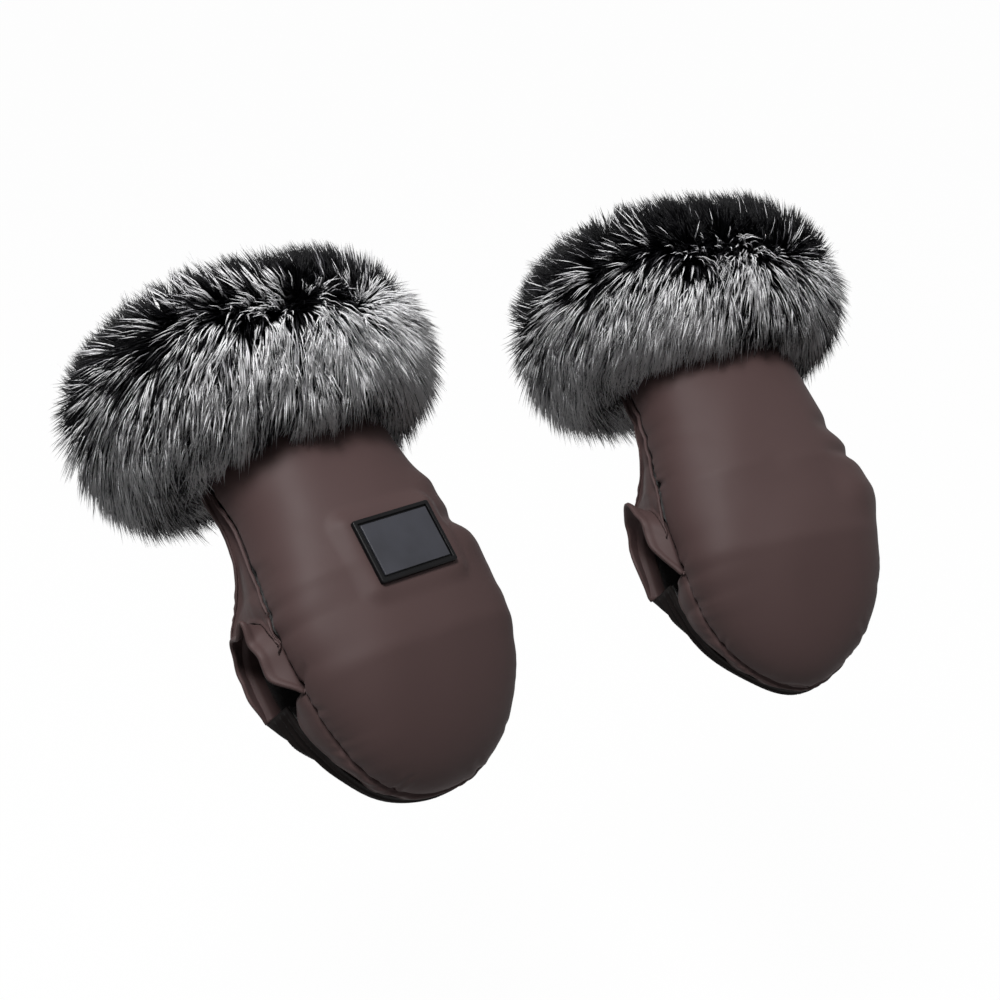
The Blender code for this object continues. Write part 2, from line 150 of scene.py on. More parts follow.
class Socket:
    """A shader value that reads as a number or a colour in a Python expression."""

    def __init__(self, tree, link):
        self.tree = tree
        self.link = link

    def math(self, operation, *others):
        node = self.tree.nodes.new("ShaderNodeMath")
        node.operation = operation
        for place, value in enumerate((self, *others)):
            feed(self.tree, node.inputs[place], value)
        return Socket(self.tree, node.outputs[0])

    def __add__(self, other):
        return self.math("ADD", other)

    def __sub__(self, other):
        return self.math("SUBTRACT", other)

    def __rsub__(self, other):
        return (self * -1.0) + other

    def __mul__(self, other):
        return self.math("MULTIPLY", other)

    def __pow__(self, other):
        return self.math("POWER", other)

    __radd__ = __add__
    __rmul__ = __mul__


def feed(tree, socket, value):
    """Set a socket to a number, a colour or another node's output."""
    if isinstance(value, Socket):
        tree.links.new(value.link, socket)
    elif value is not None:
        socket.default_value = value


# Share of the white surroundings that reflections show, so that they don't veil dark cloth and pile
REFLECTED_SHARE = 0.4


class Nodes:
    """A node tree whose nodes are made by kind."""

    def __init__(self, tree):
        self.tree = tree

    def node(self, kind, output=0, settings=None, **inputs):
        """Add a node of a kind, with its settings first and then the values or links of its sockets, which go
        by name, or by number as at0."""
        made = self.tree.nodes.new(kind)
        for name, value in (settings or {}).items():
            setattr(made, name, value)
        for name, value in inputs.items():
            key = int(name[2:]) if name.startswith("at") else name.replace("_", " ")
            feed(self.tree, made.inputs[key], value)
        return Socket(self.tree, made.outputs[output])

    def parts(self, vector):
        """The three numbers of a vector."""
        made = self.tree.nodes.new("ShaderNodeSeparateXYZ")
        feed(self.tree, made.inputs[0], vector)
        return [Socket(self.tree, output) for output in made.outputs]

    def whole(self, x, y, z=0.0):
        """A vector of three numbers."""
        return self.node("ShaderNodeCombineXYZ", X=x, Y=y, Z=z)

    def ramp(self, value, stops):
        """A colour ramp of (place, colour) stops."""
        made = self.tree.nodes.new("ShaderNodeValToRGB")
        marks = made.color_ramp.elements
        while len(marks) < len(stops):
            marks.new(0.5)
        for mark, (place, colour) in zip(marks, stops):
            mark.position = place
            mark.color = (*colour, 1.0)
        feed(self.tree, made.inputs[0], value)
        return Socket(self.tree, made.outputs[0])

    def mix(self, share, low, high):
        """Mix two colours by a share."""
        made = self.tree.nodes.new("ShaderNodeMix")
        made.data_type = "RGBA"
        feed(self.tree, made.inputs[0], share)
        for socket, value in ((made.inputs[6], low), (made.inputs[7], high)):
            feed(self.tree, socket, value if isinstance(value, Socket) else (*value, 1.0))
        return Socket(self.tree, made.outputs[2])

    def seen(self):
        """1 for rays from the camera or through the object, less for reflected ones, 0 for those that
        light it."""
        rays = self.tree.nodes.new("ShaderNodeLightPath")
        camera, glossy, through = (Socket(self.tree, rays.outputs[name])
                                   for name in ("Is Camera Ray", "Is Glossy Ray", "Is Transmission Ray"))
        return (camera + glossy * REFLECTED_SHARE + through).math("MINIMUM", 1.0)


class Shader(Nodes):
    """One material."""

    def __init__(self, name, roughness, metallic=0.0, specular=0.5, sheen=0.0, sheen_roughness=0.5):
        self.material = bpy.data.materials.new(name)
        self.material.use_nodes = True
        super().__init__(self.material.node_tree)
        self.surface = self.tree.nodes["Principled BSDF"]
        self.set("Roughness", roughness)
        self.set("Metallic", metallic)
        self.set("Specular IOR Level", specular)
        self.set("Sheen Weight", sheen)
        self.set("Sheen Roughness", sheen_roughness)

    def set(self, name, value):
        feed(self.tree, self.surface.inputs[name], value)

    def place(self):
        """Object coordinates."""
        return self.node("ShaderNodeTexCoord", "Object")

    def uv(self, name):
        return self.node("ShaderNodeUVMap", settings={"uv_map": name})

    def noise(self, vector, scale, detail=2.0, roughness=0.5):
        return self.node("ShaderNodeTexNoise", "Fac", Vector=vector, Scale=scale, Detail=detail,
                         Roughness=roughness)

    def bump(self, height, distance, strength=1.0):
        normal = self.node("ShaderNodeBump", Height=height, Distance=distance, Strength=strength)
        self.set("Normal", normal)


def srgb(red, green, blue):
    """A colour as a screen gives it, 0 to 255, in linear light."""
    def linear(value):
        value /= 255.0
        return value / 12.92 if value <= 0.04045 else ((value + 0.055) / 1.055) ** 2.4
    return linear(red), linear(green), linear(blue)


def shade(colour, factor):
    return tuple(value * factor for value in colour)


SOFTSHELL = srgb(79, 61, 60)
# The brown softshell darkened to near black: painted shade for the flap's outer cloth, which lies in shadow
SOFTSHELL_PAINTED_SHADE = srgb(25, 20, 19)
FLEECE = srgb(44, 41, 41)
WADDING_WHITE = srgb(226, 223, 214)
PATCH_SLATE = srgb(51, 52, 59)
PATCH_BLACK = srgb(11, 11, 13)

WEAVE_PITCH = 0.00045
WEAVE_DEPTH = 0.000015


def softshell(name, colour, roughness, specular):
    """Smooth bonded cloth: a fine plain weave, a soft bloom and slight unevenness in colour."""
    made = Shader(name, roughness, specular=specular, sheen=0.03, sheen_roughness=0.45)
    place = made.place()
    clouds = made.noise(place, 14.0, 3.0)
    fibre = made.noise(place, 900.0, 2.0, 0.7)
    made.set("Base Color", made.mix(clouds * 0.7 + fibre * 0.3, shade(colour, 0.95), shade(colour, 1.05)))
    made.set("Roughness", made.noise(place, 60.0, 2.0) * 0.08 + (roughness - 0.04))
    across, along, _ = made.parts(made.uv("cloth"))
    turns = 2 * pi / WEAVE_PITCH
    warp = (across * turns).math("SINE")
    weft = (along * turns).math("SINE")
    made.bump(warp * weft, WEAVE_DEPTH, 0.4)
    return made.material


def fleece(name, colour):
    """Short brushed pile, with pills and a deep mat surface."""
    made = Shader(name, 0.95, specular=0.15, sheen=0.25, sheen_roughness=0.6)
    place = made.place()
    pills = made.noise(place, 420.0, 4.0, 0.7)
    clumps = made.noise(place, 90.0, 3.0)
    stops = [(0.30, shade(colour, 0.45)), (0.52, colour), (0.72, shade(colour, 1.7))]
    made.set("Base Color", made.ramp(pills * 0.6 + clumps * 0.4, stops))
    made.bump(pills + clumps, 0.0009, 0.8)
    return made.material


def fibrous(name, roughness, specular, scale, detail, grain, depth, dark, pale, pale_at=0.7):
    """A mat of fibres or ribs, whose colour and relief follow one noise."""
    made = Shader(name, roughness, specular=specular)
    fibres = made.noise(made.place(), scale, detail, grain)
    made.set("Base Color", made.ramp(fibres, [(0.3, dark), (pale_at, pale)]))
    made.bump(fibres, depth)
    return made.material


def rubber(name, colour, roughness, specular):
    """Moulded rubber with a fine pebbled skin and a faintly uneven tone."""
    made = Shader(name, roughness, specular=specular)
    place = made.place()
    pebbles = made.node("ShaderNodeTexVoronoi", "Distance", Vector=place, Scale=1500.0)
    dust = made.noise(place, 55.0, 4.0)
    made.set("Base Color", made.ramp(dust, [(0.35, shade(colour, 0.88)), (0.65, shade(colour, 1.12))]))
    made.set("Roughness", dust * 0.16 + (roughness - 0.08))
    made.bump(pebbles, 0.00005, 0.45)
    return made.material


def plated_steel():
    """Nickel-plated magnet disc with faint rub marks."""
    made = Shader("plated_steel", 0.3, metallic=1.0)
    rubs = made.noise(made.place(), 800.0, 3.0)
    made.set("Base Color", made.ramp(rubs, [(0.3, srgb(150, 150, 152)), (0.7, srgb(196, 196, 198))]))
    made.set("Roughness", rubs * 0.2 + 0.2)
    return made.material


FUR_MAP = "OFBake"
FUR_ROOT = srgb(9, 9, 11)
# Colours of the strands' tips, from the darkest tone to the palest
FUR_TIP_STOPS = [(0.02, srgb(10, 10, 13)), (0.33, srgb(18, 18, 22)), (0.46, srgb(88, 87, 92)),
                 (0.56, srgb(200, 199, 203)), (0.70, srgb(246, 245, 247)), (0.98, srgb(254, 254, 255))]


def fur_strands():
    """Strands that are black at the root. The map's width holds their tones, and its height the way to the
    tip."""
    made = Shader("fur_strands", 0.40, specular=0.15)
    tone, reach, _ = made.parts(made.uv(FUR_MAP))
    tip = made.ramp(tone, FUR_TIP_STOPS)
    band = made.ramp(reach + tone * 0.12, [(0.44, (0.0, 0.0, 0.0)), (0.60, (1.0, 1.0, 1.0))])
    made.set("Base Color", made.mix(band, FUR_ROOT, tip))
    return made.material


FINISHES = {
    "fur": fur_strands(),
    "fur_backing": fibrous("fur_backing", 0.95, 0.1, scale=900.0, detail=3.0, grain=0.7, depth=0.0008,
                           dark=srgb(9, 9, 11), pale=srgb(26, 26, 30)),
    "softshell": softshell("softshell", SOFTSHELL, 0.60, 0.28),
    # Painted shade: the same softshell, darkened, for the flap's outer cloth
    "softshell_dark": softshell("softshell_dark", SOFTSHELL_PAINTED_SHADE, 0.66, 0.10),
    "fleece": fleece("fleece", FLEECE),
    "wadding": fibrous("wadding_fibres", 0.95, 0.2, scale=260.0, detail=5.0, grain=0.75, depth=0.0008,
                       dark=shade(WADDING_WHITE, 0.7), pale=WADDING_WHITE, pale_at=0.6),
    "patch_rubber": rubber("patch_slate", PATCH_SLATE, 0.40, 0.50),
    "patch_rim": rubber("patch_black", PATCH_BLACK, 0.38, 0.22),
    "elastic": fibrous("ribbed_elastic", 0.8, 0.3, scale=700.0, detail=2.0, grain=0.5, depth=0.0003,
                       dark=srgb(12, 12, 13), pale=srgb(40, 40, 42)),
    "magnet": plated_steel(),
}


def placed(name, data):
    """Add an object to the scene."""
    made = bpy.data.objects.new(name, data)
    bpy.context.scene.collection.objects.link(made)
    return made


def new_mesh(name, points, faces=()):
    """A mesh of points and faces."""
    mesh = bpy.data.meshes.new(name)
    mesh.from_pydata(np.asarray(points).reshape(-1, 3).tolist(), [], faces)
    return mesh


def set_camera():
    """The photograph's camera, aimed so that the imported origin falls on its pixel."""
    azimuth, elevation = radians(VIEW_AZIMUTH_DEG), radians(VIEW_ELEVATION_DEG)
    back = Vector((sin(azimuth) * cos(elevation), -cos(azimuth) * cos(elevation), sin(elevation)))
    right = Vector((cos(azimuth), sin(azimuth), 0.0))
    up = back.cross(right)
    middle = IMAGE_PIXELS / 2
    aim = (up * (ORIGIN_PIXEL[1] - middle) - right * (ORIGIN_PIXEL[0] - middle)) * METRES_PER_PIXEL
    lens = bpy.data.cameras.new("photograph_camera")
    lens.sensor_width = SENSOR_MM
    lens.lens = SENSOR_MM * VIEW_DISTANCE / (METRES_PER_PIXEL * IMAGE_PIXELS)
    lens.clip_start, lens.clip_end = CLIP_NEAR, CLIP_FAR
    camera = placed("photograph_camera", lens)
    camera.location = aim + back * VIEW_DISTANCE
    camera.rotation_mode = "QUATERNION"
    camera.rotation_quaternion = (-back).to_track_quat("-Z", "Y")
    bpy.context.scene.camera = camera


def area_light(name, where, size, power):
    """A soft square lamp aimed at the middle of the pair."""
    lamp = bpy.data.lights.new(name, "AREA")
    lamp.size = size
    lamp.energy = power
    made = placed(name, lamp)
    made.location = where
    made.rotation_mode = "QUATERNION"
    made.rotation_quaternion = (-Vector(where)).to_track_quat("-Z", "Y")


FLOOR_DROP = 0.34
FLOOR_HALF = 40.0
# The floor's colour as the lamps light it and as the camera sees it, and the share of plain white there
FLOOR_PAINT = (0.16, 0.16, 0.16)
FLOOR_SEEN = (0.95, 0.95, 0.95)
FLOOR_GLOW = 0.98
# The surroundings' light from above and below, and where their horizon lies in the ramp
SKY_LIGHT = 0.26
GROUND_LIGHT = 0.03
HORIZON = 0.48
# Lamps: place, size and power
LAMPS = {
    "key_lamp": ((-1.0, -0.7, 2.2), 0.7, 60.0),
    "fill_lamp": ((0.9, -1.6, 1.7), 1.0, 2.0),
    "back_lamp": ((0.3, 2.0, 1.5), 1.3, 14.0),
}


def set_stage():
    """White studio: a pale floor that keeps the shadow, a white surround and soft lamps above."""
    world = bpy.data.worlds.new("studio")
    bpy.context.scene.world = world
    world.use_nodes = True
    tree = world.node_tree
    sky = Nodes(tree)
    height = sky.parts(sky.node("ShaderNodeTexCoord", "Generated"))[2]
    light = sky.ramp(height * 0.5 + 0.5, [(HORIZON, (GROUND_LIGHT,) * 3), (1.0, (SKY_LIGHT,) * 3)])
    feed(tree, tree.nodes["Background"].inputs["Color"], sky.mix(sky.seen(), light, (1.0, 1.0, 1.0)))

    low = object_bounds()[0].z - FLOOR_DROP
    corners = [(x * FLOOR_HALF, y * FLOOR_HALF, low) for x, y in ((-1, -1), (1, -1), (1, 1), (-1, 1))]
    floor = placed("floor", new_mesh("floor", corners, [(0, 1, 2, 3)]))
    paint = Shader("floor_paint", 0.95)
    tree = paint.tree
    glow = tree.nodes.new("ShaderNodeEmission")
    mixer = tree.nodes.new("ShaderNodeMixShader")
    paint.set("Base Color", paint.mix(paint.seen(), FLOOR_PAINT, FLOOR_SEEN))
    feed(tree, mixer.inputs[0], paint.seen() * FLOOR_GLOW)
    tree.links.new(paint.surface.outputs[0], mixer.inputs[1])
    tree.links.new(glow.outputs[0], mixer.inputs[2])
    tree.links.new(mixer.outputs[0], tree.nodes["Material Output"].inputs[0])
    floor.data.materials.append(paint.material)

    for name, row in LAMPS.items():
        area_light(name, *row)
    bpy.context.scene.view_settings.view_transform = "Standard"


def eased(share):
    """A share from 0 to 1 that starts and ends level."""
    share = np.clip(share, 0.0, 1.0)
    return share * share * (3 - 2 * share)


def bell(away, width):
    """1 at a place, falling smoothly to 0 on both sides of it."""
    return np.exp(-(away / width) ** 2)


def between(value, start, rise, end, fall):
    """1 over a stretch, with an eased rise at its start and an eased fall at its end."""
    return eased((value - start) / rise) * (1 - eased((value - end) / fall))


def bar_to_cuff(low, high, z, start_z=WIDEST_Z):
    """Blend a size from a start height to the wrist."""
    return low + (high - low) * eased((z - start_z) / (WRIST_Z - start_z))


def half_width(z):
    return bar_to_cuff(HALF_WIDTH_BAR, HALF_WIDTH_CUFF, z)


def front_seam_y(z):
    """Where the front seam lies: forward of the bar, and drawn back towards cuff and tip."""
    far_z = np.where(z > 0, CUFF_SEAM_Z, TIP_DROP)
    far_y = np.where(z > 0, FRONT_SEAM_Y_CUFF, FRONT_SEAM_Y_TIP)
    share = np.clip((np.abs(z) - OPENING_TOP_Z) / (far_z - OPENING_TOP_Z), 0.0, 1.0)
    return -OPENING_HALF + (far_y + OPENING_HALF) * share


# Height at which the collar's pull on the back ends, and how soon the flap draws in below the bar
REAR_DRAWN_Z = 0.0640
REAR_DRAWN_POWER = 3.0


def rear_seam_y(z):
    """Where the back's rounding starts: behind the bar, and drawn forward towards cuff and tip."""
    above = eased((z - OPENING_TOP_Z) / (REAR_DRAWN_Z - OPENING_TOP_Z))
    below = 1 - (1 - np.clip((SLIT_TOP_Z - z) / (SLIT_TOP_Z + TIP_DROP), 0.0, 1.0)) ** REAR_DRAWN_POWER
    return OPENING_HALF + (REAR_SEAM_Y_CUFF - OPENING_HALF) * above + (REAR_SEAM_Y_TIP - OPENING_HALF) * below


def rounded(value, power=SECTION_POWER):
    """A sine or cosine bent towards the corners of its square, as a padded section is."""
    return np.sign(value) * np.abs(value) ** (2 / power)


class Body:
    """Levels of a muff's body, drawn in by an inset. A station runs from 0 at the top, through 1 at the
    widest level, to 2 at the tip."""

    def __init__(self, stations, inset=0.0, top_z=CUFF_SEAM_Z):
        stations = np.asarray(stations, float)[:, None]
        level = top_z + (WIDEST_Z - top_z) * np.clip(stations, 0.0, 1.0)
        angle = np.clip(stations - 1.0, 0.0, 1.0) * pi / 2
        across, down = rounded(np.cos(angle), TIP_POWER), rounded(np.sin(angle), TIP_POWER)
        self.seam_z = level - TIP_RADIUS * down
        self.z = level - (TIP_RADIUS - inset) * down
        self.width = (half_width(level) - inset) * across
        self.front = (bar_to_cuff(FRONT_CROWN_BAR, FRONT_CROWN_CUFF, level) - inset) * across
        self.rear = (bar_to_cuff(REAR_CROWN_BAR, REAR_CROWN_CUFF, level) - inset) * across

    def grid(self, x, y):
        return np.stack(np.broadcast_arrays(x, y, self.z), axis=2)

    def front_arc(self, turn):
        """From the left seam round the front to the right seam, at turns from 0 to 1."""
        angle = pi * np.asarray(turn)[None, :]
        return self.grid(-self.width * rounded(np.cos(angle)),
                         front_seam_y(self.seam_z) - self.front * rounded(np.sin(angle)))

    def rear_arc(self, turn):
        """From the right seam round the back to the left seam."""
        angle = pi * np.asarray(turn)[None, :]
        return self.grid(self.width * rounded(np.cos(angle)),
                         rear_seam_y(self.seam_z) + self.rear * rounded(np.sin(angle)))

    def side(self, hand, start_y, end_y, share):
        """Straight back along one side, hand -1 left or 1 right."""
        share = np.asarray(share)[None, :]
        return self.grid(hand * self.width, start_y + (end_y - start_y) * share)


def station_of(z):
    """The station at a height."""
    if z >= WIDEST_Z:
        return (CUFF_SEAM_Z - z) / (CUFF_SEAM_Z - WIDEST_Z)
    return 1.0 + np.arcsin(min((WIDEST_Z - z) / TIP_RADIUS, 1.0) ** (TIP_POWER / 2)) / (pi / 2)


def spread(count, ends=0.45):
    """Shares from 0 to 1 that lie closer together towards both ends."""
    share = np.linspace(0.0, 1.0, count)
    return (1 - ends) * share + ends * (1 - np.cos(pi * share)) / 2


# Soft unevenness of the whole body: reach in metres, waves per metre along x, y and z, and phase
SWELLS = (
    (0.0004, (9.0, 4.0, 7.0), 0.10),
    (0.0003, (-13.0, 6.0, 9.0), 0.55),
    (0.0003, (21.0, -8.0, -9.0), 0.30),
)
SWELL_PHASE = {"left": 0.0, "right": 0.37}
SWELL_CORE = 0.012
# Gathers where the front seam draws the cloth in: reach, pitch down each side, run from the seam, the share
# of them that lies below the cloth, and the stretch that they fill, as start, rise, end and fall
GATHER_REACH = 0.0016
GATHER_PITCH = 0.0235
GATHER_DEPTH = 0.020
GATHER_SUNK = 0.6
GATHER_HEIGHTS = (-0.075, 0.03, 0.085, 0.03)
# Scallops down the right of each front: height, width and push
SCALLOPS = {
    "left": ((0.0600, 0.0070, 0.0022), (0.0355, 0.0055, -0.0036), (0.0180, 0.0100, 0.0022)),
    "right": ((0.0480, 0.0065, -0.0034), (0.0275, 0.0050, -0.0030), (0.0020, 0.0150, 0.0045)),
}
# How far the tip hangs below its packed height, over what width and from what height
TIP_HANG = {"left": 0.0, "right": 0.0060}
TIP_HANG_WIDTH = 0.024
TIP_HANG_Z = -0.045
# Share by which the back narrows over the bar, and the stretch where it does
REAR_WAIST = 0.06
WAIST_HEIGHTS = (0.022, 0.02, 0.080, 0.03)


def soften(points, side):
    """Move points of the body as soft padding sits: low swells, gathers along the front seams, scallops down
    the right, a hanging tip and a back drawn in over the bar."""
    x, y, z = (points[..., axis] for axis in range(3))
    shift = SWELL_PHASE[side]
    push = np.zeros_like(x)
    for reach, wave, phase in SWELLS:
        push += reach * np.sin(2 * pi * (wave[0] * x + wave[1] * y + wave[2] * z + phase + shift))
    flat = np.stack([x, y * 2.0, np.zeros_like(x)], axis=-1)
    outward = flat / np.maximum(np.linalg.norm(flat, axis=-1, keepdims=True), SWELL_CORE)
    near_seam = bell(y - front_seam_y(z), GATHER_DEPTH) * eased((np.abs(x) - 0.020) / 0.030)
    turns = z / GATHER_PITCH + 0.4 * np.sin(z * 61.0 + np.sign(x) + shift * 9.0)
    gathers = GATHER_REACH * (np.abs(np.sin(pi * turns)) - GATHER_SUNK) * near_seam
    gathers = gathers * between(z, *GATHER_HEIGHTS)
    at_right = eased((x - 0.028) / 0.024) * eased((-0.012 - y) / 0.014)
    for height, width, reach in SCALLOPS[side]:
        push += reach * bell(z - height, width) * at_right
    moved = points + outward * (push + gathers)[..., None]
    moved[..., 2] -= TIP_HANG[side] * bell(x, TIP_HANG_WIDTH) * eased((TIP_HANG_Z - z) / 0.05)
    moved[..., 0] *= 1 - REAR_WAIST * (between(z, *WAIST_HEIGHTS) * eased((y + 0.012) / 0.022))
    return moved


def normals_of(grid):
    """Unit normals of a grid, which point away from the muff's middle."""
    down, across = np.gradient(grid, axis=0), np.gradient(grid, axis=1)
    normal = np.cross(down, across)
    length = np.linalg.norm(normal, axis=2, keepdims=True)
    normal = normal / np.maximum(length, 1e-12)
    for row in (0, -1):
        if length[row].max() < 1e-9:
            step = 1 if row == 0 else -2
            normal[row] = normal[step].mean(axis=0) / np.linalg.norm(normal[step].mean(axis=0))
    middle = grid.reshape(-1, 3).mean(axis=0)
    if ((grid - middle) * normal).sum() < 0:
        normal = -normal
    return normal


def lengths(grid, axis):
    """Distance walked along a grid's rows or columns."""
    steps = np.linalg.norm(np.diff(grid, axis=axis), axis=2)
    pad = [(0, 0), (0, 0)]
    pad[axis] = (1, 0)
    return np.cumsum(np.pad(steps, pad), axis=axis)


def finer(grid, axis, times):
    """Put a smooth curve through a grid's points along one axis, with more points on it."""
    count = grid.shape[axis]
    place = np.linspace(0, count - 1, (count - 1) * times + 1)
    low = np.clip(place.astype(int), 0, count - 2)
    share = (place - low).reshape([-1 if number == axis else 1 for number in range(grid.ndim)])
    near = [np.take(grid, np.clip(low + step, 0, count - 1), axis=axis) for step in (-1, 0, 1, 2)]
    first, last = low == 0, low == count - 2
    index = [slice(None)] * grid.ndim
    index[axis] = first
    near[0][tuple(index)] = 2 * near[1][tuple(index)] - near[2][tuple(index)]
    index[axis] = last
    near[3][tuple(index)] = 2 * near[2][tuple(index)] - near[1][tuple(index)]
    before, start, end, after = near
    return start + 0.5 * share * (end - before + share * (2 * before - 5 * start + 4 * end - after
                                                          + share * (3 * (start - end) + after - before)))


CLOTH_FRAMES = 20
CLOTH_MOST_MOVE = 0.0035
CLOTH_RULES = {
    "quality": 8,
    "mass": 0.12,
    "tension_stiffness": 22.0,
    "compression_stiffness": 22.0,
    "shear_stiffness": 8.0,
    "bending_stiffness": 0.35,
    "tension_damping": 12.0,
    "compression_damping": 12.0,
    "air_damping": 6.0,
    "vertex_group_mass": "pinned",
    "vertex_group_shrink": "growth",
    "shrink_min": 0.0,
    "shrink_max": -0.07,
    "use_pressure": True,
    "uniform_pressure_force": 1.2,
}


def settle(name, grid, pinned, growth):
    """Let a grid of cloth settle under a soft pressure, held where pinned and let out where it grows."""
    rows, columns = grid.shape[:2]
    index = np.arange(rows * columns).reshape(rows, columns)
    faces = np.stack([index[:-1, :-1], index[1:, :-1], index[1:, 1:], index[:-1, 1:]], axis=2).reshape(-1, 4)
    cloth = placed(name, new_mesh(name, grid, faces.tolist()))
    for group, weights in (("pinned", pinned), ("growth", growth)):
        made = cloth.vertex_groups.new(name=group)
        for number, weight in enumerate(weights.reshape(-1)):
            if weight > 0.001:
                made.add([number], float(weight), "REPLACE")
    modifier = cloth.modifiers.new("Cloth", "CLOTH")
    for rule, value in CLOTH_RULES.items():
        setattr(modifier.settings, rule, value)
    modifier.settings.effector_weights.gravity = 0.0
    modifier.point_cache.frame_start = 1
    modifier.point_cache.frame_end = CLOTH_FRAMES
    for number in range(1, CLOTH_FRAMES + 1):
        bpy.context.scene.frame_set(number)
    evaluated = cloth.evaluated_get(bpy.context.evaluated_depsgraph_get())
    flat = np.empty(rows * columns * 3, np.float32)
    evaluated.data.vertices.foreach_get("co", flat)
    settled = flat.reshape(rows, columns, 3).astype(float)
    bpy.data.objects.remove(cloth, do_unlink=True)
    bpy.context.scene.frame_set(1)
    move = settled - grid
    reach = np.linalg.norm(move, axis=2, keepdims=True)
    return grid + move * np.minimum(1.0, CLOTH_MOST_MOVE / np.maximum(reach, 1e-9))


# The soft ridge on each side of a crease, by the crease's own depth and width, and how soon a crease fades
CREASE_RIDGE = 0.45
CREASE_RIDGE_AWAY = 1.9
CREASE_RIDGE_WIDTH = 0.9
CREASE_FADE = 0.8


def creased(grid, normals, start, end, width, depth):
    """Press one crease into a grid, deepest at its start and fading to its end, between two soft ridges."""
    line = end - start
    share = np.clip(((grid - start) @ line) / (line @ line), 0.0, 1.0)
    away = np.linalg.norm(grid - (start + share[..., None] * line), axis=2) / width
    profile = bell(away, 1.0) - CREASE_RIDGE * bell(away - CREASE_RIDGE_AWAY, CREASE_RIDGE_WIDTH)
    return grid - normals * (depth * profile * (1 - share) ** CREASE_FADE)[..., None]


def turn_of(hand):
    """The turn from a muff's own frame to its place in the pair."""
    angles = (-radians(LEAN_DEG), hand * radians(TURN_DEG), -hand * radians(YAW_DEG))
    return np.array(Euler(angles, "ZYX").to_matrix())


def put(points, hand):
    """From a muff's own frame to its place in the pair."""
    return points @ turn_of(hand).T + np.array((hand * MUFF_PITCH / 2, 0.0, -BAR_DROP))


def shell(name, outer, inner, finish, hand, cells=None, rim=1.0, closed=False):
    """Close two grids of points into one cloth with rounded edges, in its place in the pair."""
    rows, columns = outer.shape[:2]
    count = rows * columns
    wrap = columns if closed else columns - 1
    keep = np.ones((rows - 1, wrap), bool) if cells is None else cells
    row, column = np.nonzero(keep)
    ahead = (column + 1) % columns
    corners = np.stack([row * columns + column, (row + 1) * columns + column,
                        (row + 1) * columns + ahead, row * columns + ahead], axis=1)
    points = np.concatenate([outer.reshape(-1, 3), inner.reshape(-1, 3)])
    centres = points[corners].mean(axis=1)
    edges = {}
    for face, (a, b, c, d) in enumerate(corners.tolist()):
        for pair in ((a, b), (b, c), (c, d), (d, a)):
            if pair[::-1] in edges:
                del edges[pair[::-1]]
            else:
                edges[pair] = face
    outward = {}
    for (a, b), face in edges.items():
        away = (points[a] + points[b]) / 2 - centres[face]
        along = points[b] - points[a]
        size = along @ along
        if size > 1e-16:
            away = away - along * (away @ along) / size
        for corner in (a, b):
            outward[corner] = outward.get(corner, 0.0) + away
    middles, middle_points = {}, []
    for corner, away in outward.items():
        thick = np.linalg.norm(points[corner] - points[corner + count])
        reach = np.linalg.norm(away)
        middles[corner] = 2 * count + len(middle_points)
        edge = away / reach * thick * 0.5 * rim if reach > 1e-9 else np.zeros(3)
        middle_points.append((points[corner] + points[corner + count]) / 2 + edge)
    faces = corners.tolist() + (corners[:, ::-1] + count).tolist()
    for a, b in edges:
        faces.append([b, a, middles[a], middles[b]])
        faces.append([middles[b], middles[a], a + count, b + count])
    points = np.concatenate([points, np.array(middle_points)])
    along = lengths(outer, 1)
    down = np.broadcast_to(lengths(outer, 0)[:, columns // 2:columns // 2 + 1], along.shape)
    flat = np.stack([along, down], axis=2).reshape(-1, 2)
    flat = np.concatenate([flat, flat, flat[list(middles)]])

    mesh = new_mesh(name, put(points, hand), faces)
    layer = mesh.uv_layers.new(name="cloth")
    corner_of = np.empty(len(mesh.loops), np.int32)
    mesh.loops.foreach_get("vertex_index", corner_of)
    layer.data.foreach_set("uv", flat[corner_of].astype(np.float32).ravel())
    return tidy(name, mesh, finish)


MERGE_DISTANCE = 2e-6
SLIVER = 1e-7


def tidy(name, mesh, finish):
    """Merge a mesh's doubled points, turn its faces outwards, shade it and give it its finish."""
    form = bmesh.new()
    form.from_mesh(mesh)
    bmesh.ops.remove_doubles(form, verts=form.verts, dist=MERGE_DISTANCE)
    bmesh.ops.dissolve_degenerate(form, edges=form.edges, dist=SLIVER)
    loose = [point for point in form.verts if not point.link_faces]
    bmesh.ops.delete(form, geom=loose, context="VERTS")
    bmesh.ops.recalc_face_normals(form, faces=form.faces)
    form.to_mesh(mesh)
    form.free()
    mesh.shade_smooth()
    mesh.materials.append(FINISHES[finish])
    return placed(name, mesh)


def belongs(piece, slot, *nodes):
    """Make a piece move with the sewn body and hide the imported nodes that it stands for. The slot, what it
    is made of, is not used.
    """
    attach(piece, "muff_pair")
    if nodes:
        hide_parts(*nodes)


def sewn(side, name, outer, inner, finish, node, fill=None, **edges):
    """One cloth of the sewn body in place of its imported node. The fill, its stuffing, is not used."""
    piece = shell(f"{side}_{name}", outer, inner, finish, HANDS[side], **edges)
    belongs(piece, finish, f"{side}_{node}")


SEAM_DITCH = 0.0013
SEAM_DITCH_WIDTH = 0.0013
PUCKER_DEPTH = 0.00045
PUCKER_PITCH = 0.0085
PUCKER_REACH = 0.0075

